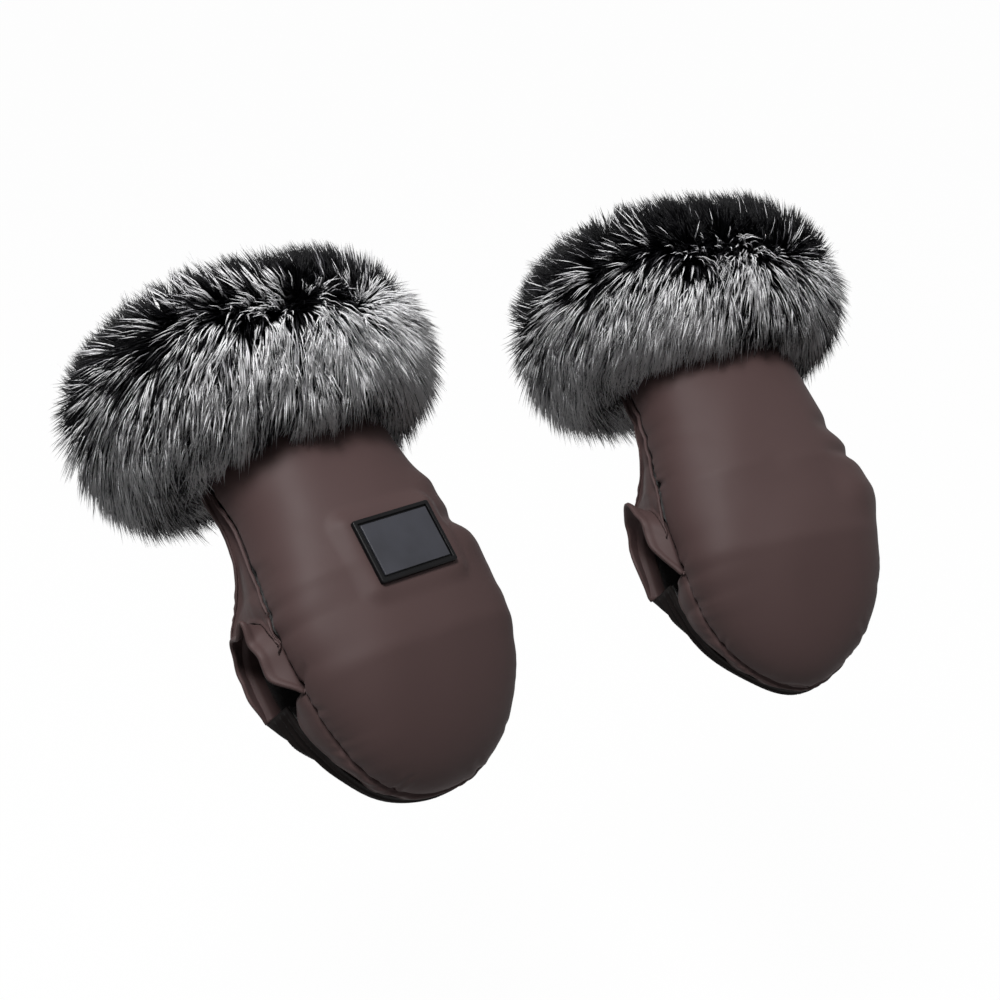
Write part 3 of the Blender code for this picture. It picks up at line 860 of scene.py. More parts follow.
# Creases of the front panels: seam they start from (0 left, 1 right), height there, reach, slide down the
# panel, width and depth
FRONT_CREASES = {
    "left": (
        (0, -0.020, 0.012, -0.006, 0.0022, 0.0016),
        (0, -0.034, 0.010, 0.004, 0.0018, 0.0010),
        (0, -0.086, 0.019, -0.002, 0.0016, 0.0014),
        (0, 0.046, 0.016, 0.003, 0.0030, 0.0008),
        (1, 0.078, 0.020, 0.004, 0.0028, 0.0016),
        (1, 0.060, 0.022, 0.006, 0.0030, 0.0018),
        (1, 0.036, 0.026, 0.008, 0.0032, 0.0018),
        (1, 0.012, 0.020, 0.007, 0.0028, 0.0010),
        (1, -0.094, 0.026, -0.010, 0.0026, 0.0016),
        (1, -0.080, 0.018, -0.004, 0.0022, 0.0010),
    ),
    "right": (
        (0, 0.034, 0.010, 0.003, 0.0018, 0.0018),
        (0, -0.020, 0.012, -0.004, 0.0020, 0.0012),
        (0, -0.070, 0.010, -0.003, 0.0016, 0.0010),
        (1, 0.064, 0.022, 0.004, 0.0028, 0.0016),
        (1, 0.044, 0.026, 0.006, 0.0030, 0.0020),
        (1, 0.026, 0.018, 0.005, 0.0026, 0.0012),
        (1, -0.082, 0.030, -0.012, 0.0026, 0.0018),
        (1, -0.090, 0.018, -0.004, 0.0020, 0.0012),
    ),
}


def sides_of(hand):
    """A muff's two sides, inboard towards the other muff, with hand -1 for left and 1 for right."""
    return ("inboard", -hand), ("outboard", hand)


def seam_detail(grid, seed, right=True, bottom=False):
    """Roll a cloth's sewn edges into the seam's ditch and pucker it softly beside them."""
    normal = normals_of(grid)
    across, down = lengths(grid, 1), lengths(grid, 0)
    pull = np.zeros(grid.shape[:2])
    for wanted, away, along in ((True, across, down), (right, across[:, -1:] - across, down),
                                (bottom, down[-1:] - down, across)):
        if not wanted:
            continue
        pull += SEAM_DITCH * bell(away, SEAM_DITCH_WIDTH)
        turns = along / PUCKER_PITCH + 0.35 * np.sin(along * 143.0 + seed) + seed
        strength = 0.55 + 0.45 * np.sin(along * 71.0 + 2.3 * seed)
        pull += PUCKER_DEPTH * strength * np.sin(2 * pi * turns) * np.exp(-away / PUCKER_REACH) * (away > 0)
    return grid - normal * pull[..., None]


def inner_side(grid, thickness):
    """The far side of a cloth of one thickness."""
    return grid - normals_of(grid) * thickness


def tube_faces(rows, around):
    """Faces of a tube of points: a row of quads after each ring but the last, and a lid at each end."""
    index = np.arange(rows * around).reshape(rows, around)
    beside = np.roll(index, -1, axis=1)
    sides = np.stack([index[:-1], beside[:-1], beside[1:], index[1:]], axis=2).reshape(-1, 4)
    return sides.tolist() + [index[0].tolist(), index[-1].tolist()]


PIPING_RADIUS = 0.0011
PIPING_SIDES = 8
SHORTEST_STEP = 1e-5


def piping(name, line, hand):
    """A round cord along a line of points, closed at both ends."""
    steps = np.linalg.norm(np.diff(line, axis=0), axis=1)
    line = line[np.concatenate([[True], steps > SHORTEST_STEP])]
    ahead = np.gradient(line, axis=0)
    ahead /= np.linalg.norm(ahead, axis=1, keepdims=True)
    first = np.cross(ahead, np.array((0.0, 1.0, 0.0)))
    first /= np.linalg.norm(first, axis=1, keepdims=True)
    second = np.cross(ahead, first)
    turn = np.linspace(0.0, 2 * pi, PIPING_SIDES, endpoint=False)
    rings = line[:, None] + PIPING_RADIUS * (first[:, None] * np.cos(turn)[None, :, None]
                                             + second[:, None] * np.sin(turn)[None, :, None])
    mesh = new_mesh(name, put(rings, hand), tube_faces(len(line), PIPING_SIDES))
    mesh.uv_layers.new(name="cloth")
    belongs(tidy(name, mesh, "softshell"), "softshell")


PATCH_FADE = 0.012
PATCH_CORNER = 0.0014
PATCH_LEAST_CORNER = 0.0004
PATCH_RIM_WIDTH = 0.0024
PATCH_MOAT = 0.0012
PATCH_EDGE = 0.0008
PATCH_SHARP_DEG = 40.0
PATCH_FIELD_LIFT = 0.0001


def patch_seat():
    """The middle of the patch's back, and its turn about x to lie along the front."""
    low_z, top_z = PATCH_CENTRE_Z - PATCH_HEIGHT / 2, PATCH_CENTRE_Z + PATCH_HEIGHT / 2
    heights = np.linspace(low_z, top_z, 11)
    line = front_seam_y(heights) - bar_to_cuff(FRONT_CROWN_BAR, FRONT_CROWN_CUFF, heights)
    chord = line[0] + (line[-1] - line[0]) * (heights - low_z) / PATCH_HEIGHT
    middle = (PATCH_CENTRE_X, chord.mean() - (chord - line).max() - LAYER_GAP, PATCH_CENTRE_Z)
    return np.array(middle), np.array(Matrix.Rotation(-atan2(line[-1] - line[0], PATCH_HEIGHT), 3, "X"))


def laid_flat(grid):
    """Bring the cloth against the patch's back, and ease it away round the patch."""
    middle, turn = patch_seat()
    flat = (grid - middle) @ turn
    beside = np.hypot(*(np.maximum(np.abs(flat[..., axis]) - size / 2, 0.0)
                        for axis, size in ((0, PATCH_WIDTH), (2, PATCH_HEIGHT))))
    flat[..., 1] += (LAYER_GAP - flat[..., 1]) * (1.0 - eased(beside / PATCH_FADE))
    return flat @ turn.T + middle


def edge_round(inset, height, radius, start, end):
    """A rounded edge of a profile, about a middle, between two angles in degrees."""
    angles = np.radians(np.linspace(start, end, 5))
    return [(inset + radius * cos(angle), height + radius * sin(angle)) for angle in angles]


def plate(name, profile, finish, hand, node):
    """A moulded plate on the patch's seat, from rounded rectangles at (inset, height) pairs, closed at both
    ends."""
    middle, turn = patch_seat()
    loops = []
    for inset, height in profile:
        corner = max(PATCH_CORNER - inset, PATCH_LEAST_CORNER)
        for start, (side_x, side_z) in zip(range(0, 360, 90), ((1, 1), (-1, 1), (-1, -1), (1, -1))):
            for angle in np.radians(np.linspace(start, start + 90, 6)):
                loops.append((side_x * (PATCH_WIDTH / 2 - inset - corner) + corner * cos(angle), -height,
                              side_z * (PATCH_HEIGHT / 2 - inset - corner) + corner * sin(angle)))
    faces = tube_faces(len(profile), len(loops) // len(profile))
    mesh = new_mesh(name, put(np.array(loops) @ turn.T + middle, hand), faces)
    piece = tidy(name, mesh, finish)
    mesh.set_sharp_from_angle(angle=radians(PATCH_SHARP_DEG))
    belongs(piece, "patch_rubber", node)


def patch(side, hand):
    """The bare rubber patch: a base with a raised rim, and a raised flat field inside a moat."""
    top, fine_edge = PATCH_BASE + PATCH_RIM_HEIGHT, PATCH_EDGE / 2
    rim = [(0.0, 0.0), *edge_round(PATCH_EDGE, top - PATCH_EDGE, PATCH_EDGE, 180, 90),
           *edge_round(PATCH_RIM_WIDTH - fine_edge, top - fine_edge, fine_edge, 90, 0),
           (PATCH_RIM_WIDTH, PATCH_BASE)]
    plate(f"{side}_patch_rim", rim, "patch_rim", hand, f"{side}_patch_base")
    inset = PATCH_RIM_WIDTH + PATCH_MOAT
    field_top = PATCH_BASE + LAYER_GAP + PATCH_FIELD
    field = [(inset, PATCH_BASE + PATCH_FIELD_LIFT),
             *edge_round(inset + fine_edge, field_top - fine_edge, fine_edge, 180, 90)]
    plate(f"{side}_patch_face", field, "patch_rubber", hand, f"{side}_patch_field")


# How the front's cloth is held as it settles: width of the pinned seams, height of the pinned top, pinned
# rows at the tip, the least hold anywhere, and the width beside the seams where the cloth is let out
PIN_WIDTH = 0.0016
PIN_TOP = 0.004
PIN_TIP_ROWS = 4
PIN_LEAST = 0.02
GROWTH_WIDTH = 0.016
# Where the puckers along the front's seams start
FRONT_SEED = {"left": 0.3, "right": 1.1}


def front_panel(side, hand):
    """The front: outer cloth, settled between its seams, with its gathers, creases and piping, and the layers
    under it."""
    stations = np.concatenate([np.linspace(0.0, 1.0, 40)[:-1], np.linspace(1.0, 2.0, 46)])
    grid = soften(Body(stations).front_arc(spread(60)), side)
    across = lengths(grid, 1)
    edge = np.minimum(across, across[:, -1:] - across)
    pinned = np.maximum(bell(edge, PIN_WIDTH), bell(lengths(grid, 0), PIN_TOP))
    pinned[-PIN_TIP_ROWS:] = 1.0
    grid = settle(f"{side}_front_cloth", grid, np.maximum(pinned, PIN_LEAST), bell(edge, GROWTH_WIDTH))
    grid = finer(finer(grid, 0, 2), 1, 2)
    normal = normals_of(grid)
    across = lengths(grid, 1)
    edge = (across, across[:, -1:] - across)
    heights = Body(np.interp(np.arange(len(grid)) / 2, np.arange(len(stations)), stations)).seam_z[:, 0]
    step = np.linalg.norm(grid[1, 0] - grid[0, 0])
    for which, height, reach, slide, width, depth in FRONT_CREASES[side]:
        row = int(np.argmin(np.abs(heights - height)))
        far_row = int(np.clip(row + slide / step, 0, len(heights) - 3))
        column = int(np.argmin(np.abs(edge[which][far_row] - reach)))
        grid = creased(grid, normal, grid[row, -which], grid[far_row, column], width, depth)
    grid = seam_detail(grid, seed=FRONT_SEED[side])
    sunk = grid - normals_of(grid) * PIPING_RADIUS
    piping(f"{side}_seam_piping", np.concatenate([sunk[:, 0], sunk[-2::-1, -1]]), hand)
    if side == "left":
        grid = laid_flat(grid)
    sewn(side, "front_cloth", grid, inner_side(grid, OUTER_CLOTH * CLOTH_DRAWN), "softshell",
         "front_outer_panel", FRONT_FILL)
    stations = np.concatenate([np.linspace(0.0, 1.0, 20)[:-1], np.linspace(1.0, 2.0, 22)])
    under_layers(side, "front", stations, 34)


def under_layers(side, panel, stations, columns):
    """The wadding and lining under a panel's outer cloth."""
    turn = np.linspace(0.0, 1.0, columns)
    for name, finish, depth, thick in UNDER_LAYERS:
        outer, inner = (soften(getattr(Body(stations, inset), f"{panel}_arc")(turn), side)
                        for inset in (depth, depth + thick))
        sewn(side, f"{panel}_{name}_layer", outer, inner, finish, f"{panel}_{name}",
             PANEL_FILL if name == "wadding" else None)


def rear_panel(side):
    """The back above the flap: outer cloth, wadding and lining."""
    last = station_of(FLAP_TOP_Z + LAYER_GAP)
    grid = soften(Body(np.linspace(0.0, last, 84)).rear_arc(spread(110)), side)
    grid = seam_detail(grid, bottom=True, seed=0.7)
    sewn(side, "rear_cloth", grid, inner_side(grid, OUTER_CLOTH * CLOTH_DRAWN), "softshell",
         "rear_outer_panel", PANEL_FILL)
    under_layers(side, "rear", np.linspace(0.0, last, 16), 30)


GUSSET_SAG = 0.0045
GUSSET_ARCH = 0.0243
GUSSET_FOLD = 0.0012
GUSSET_PAD_INSET = 0.0006


def gussets(side, hand):
    """The side pieces between front and back, which sag inwards and end in an arch over the bar, and their
    padded linings."""
    share, down = np.linspace(0.0, 1.0, 36)[None, :], np.linspace(0.0, 1.0, 72)[:, None]
    z = CUFF_SEAM_Z + (GUSSET_ARCH * np.sin(pi * share) - CUFF_SEAM_Z) * down
    front, rear = front_seam_y(z) + LAYER_GAP, rear_seam_y(z) - LAYER_GAP
    y = front + (rear - front) * (share * (1 - down) + (1 - np.cos(pi * share)) / 2 * down)
    middle = np.sin(pi * share)
    sag = GUSSET_SAG * middle * np.sin(pi * np.minimum(down * 1.15, 1.0)) ** 0.7
    fold = GUSSET_FOLD * np.sin(2 * pi * (share * 1.5 + down * 1.3)) * middle * np.sin(pi * down)
    under = OUTER_CLOTH + LAYER_GAP
    for where, side_hand in sides_of(hand):
        cloth, outer, inner = (
            soften(np.stack([side_hand * (half_width(z) - inset - sag - fold), y, z], axis=2), side)
            for inset in (0.0, under + GUSSET_PAD_INSET, under + GUSSET_LINING))
        cloth = seam_detail(cloth, bottom=True, seed=0.9 + 0.4 * side_hand)
        sewn(side, f"gusset_cloth_{where}", cloth, inner_side(cloth, OUTER_CLOTH * GUSSET_DRAWN), "softshell",
             f"gusset_{where}")
        sewn(side, f"gusset_pad_{where}", outer, inner, "fleece", f"gusset_lining_{where}", GUSSET_FILL)


# The side strip's rounded ends, its swell, the reach and pitch of its wavy free edge, and how round that is
STRIP_END = 0.014
STRIP_PUFF = 0.0012
STRIP_RIPPLE = 0.0009
STRIP_RIPPLE_PITCH = 0.031
STRIP_RIM = 0.8


def side_strip(side):
    """The hemmed band between the front seam and the slit, with rounded ends and a rolled free edge."""
    stations = np.linspace(station_of(SLIT_TOP_Z), 2.0, 90)
    share = np.linspace(0.0, 1.0, 15)
    grids = []
    for inset in (0.0, STRIP_CLOTH):
        body = Body(stations, inset)
        seam = front_seam_y(body.seam_z) + LAYER_GAP
        walked = lengths(body.side(1, seam, SLIT_Y, share), 0)[:, :1]
        full = np.sqrt(1 - (1 - np.clip(walked / STRIP_END, 0.0, 1.0)) ** 2)
        end = seam + (SLIT_Y - seam) * (0.15 + 0.85 * full)
        left, right = (body.side(side_hand, seam, end, share) for side_hand in (-1, 1))
        grids.append(np.concatenate([left, right[::-1][1:]]))
    outer, inner = (soften(grid, side) for grid in grids)
    puff = STRIP_PUFF * np.sin(pi * np.clip(share * 1.1, 0.0, 1.0))[None, :]
    along = lengths(outer, 0)
    turns = along / STRIP_RIPPLE_PITCH + 0.3 * np.sin(along * 77.0)
    ripple = STRIP_RIPPLE * np.sin(2 * pi * turns) * share[None, :] ** 1.5
    outer = outer + normals_of(outer) * (puff + ripple)[..., None]
    outer = seam_detail(outer, right=False, seed=1.7)
    sewn(side, "side_strip_cloth", outer, inner, "softshell", "side_strip", rim=STRIP_RIM)


COLLAR_ROOT = 0.0236
COLLAR_LEG = 0.0235
COLLAR_INSIDE = 0.0100
COLLAR_CLOTH = 0.0014
COLLAR_ROLL = 0.0009
COLLAR_ROLL_WIDTH = 0.0032
COLLAR_WAVE = 0.0006
# How far a collar's root tightens inside the body, and over what depth
COLLAR_TIGHTEN = 0.0022
COLLAR_TIGHTEN_DEPTH = 0.004
# The tucked-in collar's end: behind the body's side, and inside its root
TUCK_REACH = -0.0015
TUCK_NARROW = 0.0012
# The lip that hugs the bar on the left of each muff: reach from the body, its share at the back, radius round
# the bar, and the puckers over the bar as (angle in degrees from the back, width, lift)
LIP_REACH = 0.0118
LIP_BACK_SHARE = 0.45
LIP_RADIUS = 0.0190
LIP_PUCKERS = {"left": ((127.0, 11.0, 0.0095), (70.0, 28.0, 0.0018)), "right": ((98.0, 26.0, 0.0050),)}
LIP_RAISE = {"left": 0.0, "right": 0.0070}


def collars(side, hand):
    """The hemmed cloth collars round the bar, which narrow to a lip on the left and are tucked in on the
    right."""
    leg = np.linspace(COLLAR_LEG, 0.0, 22)[:-1]
    over = np.linspace(pi, 0.0, 84)
    angle = np.concatenate([np.full(len(leg), pi), over, np.zeros(len(leg))])
    drop = np.concatenate([leg, np.zeros(len(over)), leg[::-1]])
    degrees = np.degrees(angle)
    share = np.linspace(0.0, 1.0, 34)[None, :]
    near = HALF_WIDTH_BAR - COLLAR_INSIDE
    for where, side_hand in sides_of(hand):
        reach, radius = np.full(len(angle), TUCK_REACH), np.full(len(angle), COLLAR_ROOT - TUCK_NARROW)
        if side_hand < 0:
            end = eased((COLLAR_LEG - drop) / 0.0150) ** 0.7
            fuller = eased((degrees - 20.0) / 110.0)
            reach = LIP_REACH * end * (LIP_BACK_SHARE + (1 - LIP_BACK_SHARE) * fuller)
            radius = COLLAR_ROOT + (LIP_RADIUS - COLLAR_ROOT) * end
            for place, width, lift in LIP_PUCKERS[side]:
                radius = radius + lift * bell(degrees - place, width)
        x = near + (HALF_WIDTH_BAR + reach[:, None] - near) * share
        out = np.clip((x - HALF_WIDTH_BAR + 0.002) / (reach[:, None] + 0.002), 0.0, 1.0)
        root = COLLAR_ROOT - COLLAR_TIGHTEN * eased((HALF_WIDTH_BAR - x) / COLLAR_TIGHTEN_DEPTH)
        wave = COLLAR_WAVE * np.sin(angle * 7.0 + drop * 300.0 + hand)[:, None] * out
        round_bar = root + (radius[:, None] - root) * out ** 1.3 + wave
        y, z = round_bar * np.cos(angle)[:, None], round_bar * np.sin(angle)[:, None] - drop[:, None]
        if side_hand < 0:
            z = z + LIP_RAISE[side] * out * end[:, None]
        grid = np.stack([side_hand * x, y, z], axis=2)
        roll = COLLAR_ROLL * np.exp(-((1 - share) * (x[:, -1:] - near) / COLLAR_ROLL_WIDTH) ** 4)
        outer = grid + normals_of(grid) * roll[..., None]
        sewn(side, f"collar_cloth_{where}", outer, inner_side(grid, COLLAR_CLOTH), "softshell",
             f"bar_collar_{where}")


# The flap's hem: share of the padding's thickness at its edge, and the way over which it thickens
HEM_THIN = 0.22
HEM_TAPER = 0.0130
# Pressed fold lines along the hem: distances of ridges and dips from the edge, their heights and widths
FOLD_RIDGES = (0.004, 0.0095, 0.0165)
FOLD_DIPS = (0.0062, 0.0120, 0.0195)
FOLD_RIDGE = 0.0009
FOLD_RIDGE_WIDTH = 0.0008
FOLD_DIP = 0.0008
FOLD_DIP_WIDTH = 0.0016


def flap(side, hand):
    """The padded flap: outer cloth with its pressed fold lines, wadding and lining, thin at its hem."""
    hem_y = SLIT_Y + SLIT_GAP
    below = Vector(put(np.array((0.0, 0.0, -1.0)), hand)) - Vector(put(np.zeros(3), hand))
    tongue = np.linspace(station_of(FLAP_TOP_Z), station_of(SLIT_TOP_Z), 16)[:-1]
    wrap = np.linspace(station_of(SLIT_TOP_Z), 2.0, 84)
    stations = np.concatenate([tongue, wrap])
    sides, arc = np.linspace(0.0, 1.0, 26), spread(90)
    body = Body(stations)
    rear = rear_seam_y(body.seam_z)
    right, left = (body.side(side_hand, hem_y, rear, sides)[:, :-1] for side_hand in (1, -1))
    cloth = soften(np.concatenate([right, body.rear_arc(arc), left[:, ::-1]], axis=1), side)
    normal = normals_of(cloth)
    across, down = lengths(cloth, 1), lengths(cloth, 0)
    edge = np.minimum(across, across[:, -1:] - across)
    on_side = np.ones(cloth.shape[1], bool)
    on_side[len(sides) - 1:1 - len(sides)] = False
    from_top = np.where(on_side[None, :], down - down[len(tongue)], np.inf)
    hem = np.minimum(edge, from_top)
    taper = HEM_THIN + (1 - HEM_THIN) * eased(hem / HEM_TAPER)
    solid = np.ones((cloth.shape[0] - 1, cloth.shape[1] - 1), bool)
    solid[:len(tongue), on_side[:-1] & on_side[1:]] = False
    nearest = np.minimum(np.minimum(hem[:-1, :-1], hem[1:, 1:]), np.minimum(hem[:-1, 1:], hem[1:, :-1]))
    fade = (np.arange(len(stations)) >= len(tongue) + 2)[:, None]
    folds = sum(FOLD_RIDGE * bell(edge - place, FOLD_RIDGE_WIDTH) for place in FOLD_RIDGES)
    dips = sum(FOLD_DIP * bell(edge - place, FOLD_DIP_WIDTH) for place in FOLD_DIPS)
    # The flap's outer cloth takes the softshell darkened as painted shade
    for name, finish, depth, thick in (("outer_panel", "softshell_dark", 0.0, OUTER_CLOTH), *UNDER_LAYERS):
        outer = cloth - normal * (depth * taper)[..., None]
        inner = cloth - normal * ((depth + thick) * np.maximum(taper, depth == 0.0))[..., None]
        cells = solid
        if name == "outer_panel":
            outer = outer + normal * ((folds - dips) * fade)[..., None]
        if name == "wadding":
            cells = solid & (nearest > FLAP_HEM_RECESS)
        piece = shell(f"{side}_flap_{name}_cloth", outer, inner, finish, hand, cells=cells)
        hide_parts(f"{side}_flap_{name}")
        name != "lining"
        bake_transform(piece)


AROUND_CUFF = 120
FACING_TOP_Z = 0.196
FACING_THICK = 0.002
FACING_SWELL = 0.0006
ELASTIC_RISE = 0.005
ELASTIC_HEIGHT = 0.009
ELASTIC_THICK = 0.0014
ELASTIC_CRIMP = 0.0001
ELASTIC_STEPS = 14


def cuff_section(offset, z, back, around):
    """Points round the cuff: the body's section at the cuff's seam, let out, raised and set back."""
    body = Body([0.0], -offset)
    turn = np.linspace(0.0, 1.0, around + 1)[:around // 2 + 1] * 2
    line = np.concatenate([body.front_arc(turn)[0][:-1], body.rear_arc(turn)[0][:-1]])
    return line + np.array((0.0, back, z - CUFF_SEAM_Z))


def band(side, name, profile, finish, node):
    """Turn an open profile of (outer offset, inner offset, height) round the cuff, as one hollow band."""
    outer, inner = (np.stack([cuff_section(row[which], row[2], 0.0, AROUND_CUFF) for row in profile])
                    for which in (0, 1))
    sewn(side, name, outer, inner, finish, node, closed=True)


def cuff_bands(side):
    """The fleece facing of the cuff's mouth, and the crimped elastic at the wrist."""
    seat = CUFF_SEAM_Z + LAYER_GAP
    rows = [(-LINING, -LINING - FACING_THICK - FACING_SWELL * sin(pi * share * 5) ** 2,
             seat + (FACING_TOP_Z - seat) * share) for share in np.linspace(0.0, 1.0, 26)]
    band(side, "mouth_facing", rows, "fleece", "cuff_facing")
    outside = -LINING + LAYER_GAP
    rows = [(outside + ELASTIC_THICK - 2 * ELASTIC_CRIMP * (step % 2), outside + ELASTIC_CRIMP * (step % 2),
             seat + ELASTIC_RISE + ELASTIC_HEIGHT * step / ELASTIC_STEPS)
            for step in range(ELASTIC_STEPS + 1)]
    band(side, "wrist_band", rows, "elastic", "wrist_elastic")


PELT_LOW_Z = 0.1190
PELT_TOP_Z = 0.1880
PELT_OUTSIDE = 0.0300
PELT_LIP = 0.0020
PELT_HANG_BACK = 0.0080
PELT_POWER = 2.2
PELT_SKIN = 0.0008

FUR_SEED = {"left": 11, "right": 23}
FUR_PIECES = 4
STRANDS_PER_PIECE = 8500
STRAND_RADIUS = 0.00050
STRAND_REACH = 0.034
STRAND_TONES = 10
CLUMP_STRANDS = 4
# Height of the ridge where the pile turns from falling outwards to falling into the mouth, its fall from left
# to right, the height over which the pile turns, and the width of the ridge itself
RIDGE_Z = {"left": 0.1770, "right": 0.1690}
RIDGE_FALL = 0.010
RIDGE_SPREAD = 0.0150
RIDGE_WIDTH = 0.017
# The pile's way along the pelt: below the ridge down the muff and with gravity, swept to the left in front,
# and above it over the ridge and into the mouth
DOWN_THE_MUFF = np.array((0.0, 0.0, -0.5))
WITH_GRAVITY = 0.5
FRONT_SWEEP = 0.55
OVER_THE_RIDGE = np.array((-0.30, 0.0, 0.75))
INTO_THE_MOUTH = 0.55
# Random turns of that way, random changes of tone, and the least and random share by which strands are drawn
# to the tip of their clump's middle strand
CLUMP_TURN = 0.14
STRAND_TURN = 0.12
CLUMP_TONE = 0.22
STRAND_TONE = 0.20
CLUMP_PULL = 0.20
CLUMP_PULL_CHANCE = 0.50
# Where the pile parts on the front, from (x, z) to (x, z), and the widths of the parting and of its dark line
PARTINGS = {"left": ((0.0080, 0.1760), (-0.0280, 0.1050)), "right": ((-0.0150, 0.1760), (-0.0270, 0.1450))}
PARTING_WIDTH = 0.008
PARTING_LINE = 0.003
# Degrees by which a strand stands up from the pelt: everywhere, and more above the ridge, on it and when pale
LIFT = 33.0
LIFT_ABOVE = 20.0
LIFT_RIDGE = 24.0
LIFT_PALE = 7.0
LIFT_CHANCE = 8.0
# Tone of the pile below the ridge, how much darker it is above it, and how far the tones are drawn apart
PILE_TONE = 0.66
PILE_TONE_ABOVE = 0.62
PILE_CONTRAST = 2.0
# Paler and darker places of the pile, as (x, z) of the roots, half width, half height and change of tone
FUR_TONES = {
    "left": ((0.050, 0.150, 0.032, 0.020, 0.40), (-0.085, 0.150, 0.034, 0.050, -0.14),
             (-0.012, 0.152, 0.026, 0.016, 0.16), (-0.050, 0.172, 0.040, 0.014, -0.14),
             (-0.075, 0.126, 0.016, 0.010, -0.40), (-0.030, 0.128, 0.016, 0.011, -0.60),
             (0.036, 0.126, 0.016, 0.010, -0.60), (0.072, 0.128, 0.014, 0.012, -0.45),
             (0.004, 0.150, 0.005, 0.030, -0.35)),
    "right": ((-0.008, 0.172, 0.060, 0.020, -0.26), (-0.088, 0.150, 0.024, 0.040, -0.10),
              (0.070, 0.145, 0.030, 0.030, -0.12), (0.016, 0.127, 0.022, 0.010, -0.55),
              (-0.055, 0.140, 0.026, 0.014, 0.16), (-0.070, 0.124, 0.014, 0.009, -0.40),
              (0.080, 0.128, 0.020, 0.014, -0.40)),
}


def pelt(rows, around, inset=0.0):
    """The backing's outer face: rows from its lower edge to the mouth, columns from the left seam round the
    front."""
    angle = np.linspace(-pi / 2, pi / 2, rows)
    full = rounded(np.cos(angle), PELT_POWER)
    half = (PELT_TOP_Z - PELT_LOW_Z) / 2
    height = PELT_LOW_Z + half + (half - inset) * rounded(np.sin(angle), PELT_POWER)
    swell = PELT_OUTSIDE - PELT_LIP - inset
    return np.stack([cuff_section(PELT_LIP + swell * share, z, PELT_HANG_BACK * share, around)
                     for share, z in zip(full, height)])


def backing(side, hand):
    """The closed ring of backing and underfur that the strands stand on."""
    inner = np.stack([cuff_section(0.0, z, 0.0, AROUND_CUFF) for z in np.linspace(PELT_TOP_Z, PELT_LOW_Z, 8)])
    grid = np.concatenate([pelt(34, AROUND_CUFF, PELT_SKIN), inner])
    rows, columns = grid.shape[:2]
    index = np.arange(rows * columns).reshape(rows, columns)
    below, ahead = np.roll(index, -1, axis=0), np.roll(index, -1, axis=1)
    faces = np.stack([index, ahead, np.roll(below, -1, axis=1), below], axis=2).reshape(-1, 4)
    name = f"{side}_fur_backing"
    piece = tidy(name, new_mesh(name, put(grid, hand), faces.tolist()), "fur_backing")
    belongs(piece, "fur", f"{side}_fur_cuff")


def strewn(grid, count, chance):
    """Random roots on the pelt: where they are and the way out there, sorted round the cuff."""
    ahead = np.roll(grid, -1, axis=1)
    out = np.cross(ahead[:-1] - grid[:-1], grid[1:] - grid[:-1])
    area = np.linalg.norm(out, axis=2)
    share = area.ravel() / area.sum()
    cell = chance.choice(len(share), count, p=share)
    cell = cell[np.argsort(cell % grid.shape[1], kind="stable")]
    row, column = np.divmod(cell, grid.shape[1])
    u, v = chance.random((2, count, 1))
    place = ((grid[row, column] * (1 - u) + ahead[row, column] * u) * (1 - v)
             + (grid[row + 1, column] * (1 - u) + ahead[row + 1, column] * u) * v)
    return place, out[row, column] / area[row, column][:, None]


def drift(place, pitch, phase):
    """Soft noise from -1 to 1 over places, made of a few waves of one pitch."""
    total = np.zeros(len(place))
    for number in range(5):
        angle = 2.4 * number + phase
        wave = np.array((cos(angle), sin(angle) * cos(1.7 * number), sin(1.3 * number + phase)))
        total += np.sin(2 * pi * (place @ wave) / (pitch * (0.75 + 0.17 * number)) + 1.9 * number + 3 * phase)
    return np.clip(total / 2.2, -1.0, 1.0)


def unit(vectors):
    return vectors / np.maximum(np.linalg.norm(vectors, axis=1, keepdims=True), 1e-9)


def parted(side, place, out):
    """How near front roots are to their cuff's parting, from -1 on its left to 1 on its right, and how near
    to its dark line."""
    top, low = np.array(PARTINGS[side])
    line = low - top
    length = np.linalg.norm(line)
    away = place[:, [0, 2]] - top
    share = away @ line / length ** 2
    across = (away[:, 0] * -line[1] + away[:, 1] * line[0]) / length
    ends = between(share, -0.1, 0.2, 0.85, 0.3) * eased(-out[:, 1] * 2)
    return np.sign(across) * bell(across, PARTING_WIDTH) * ends, bell(across, PARTING_LINE) * ends


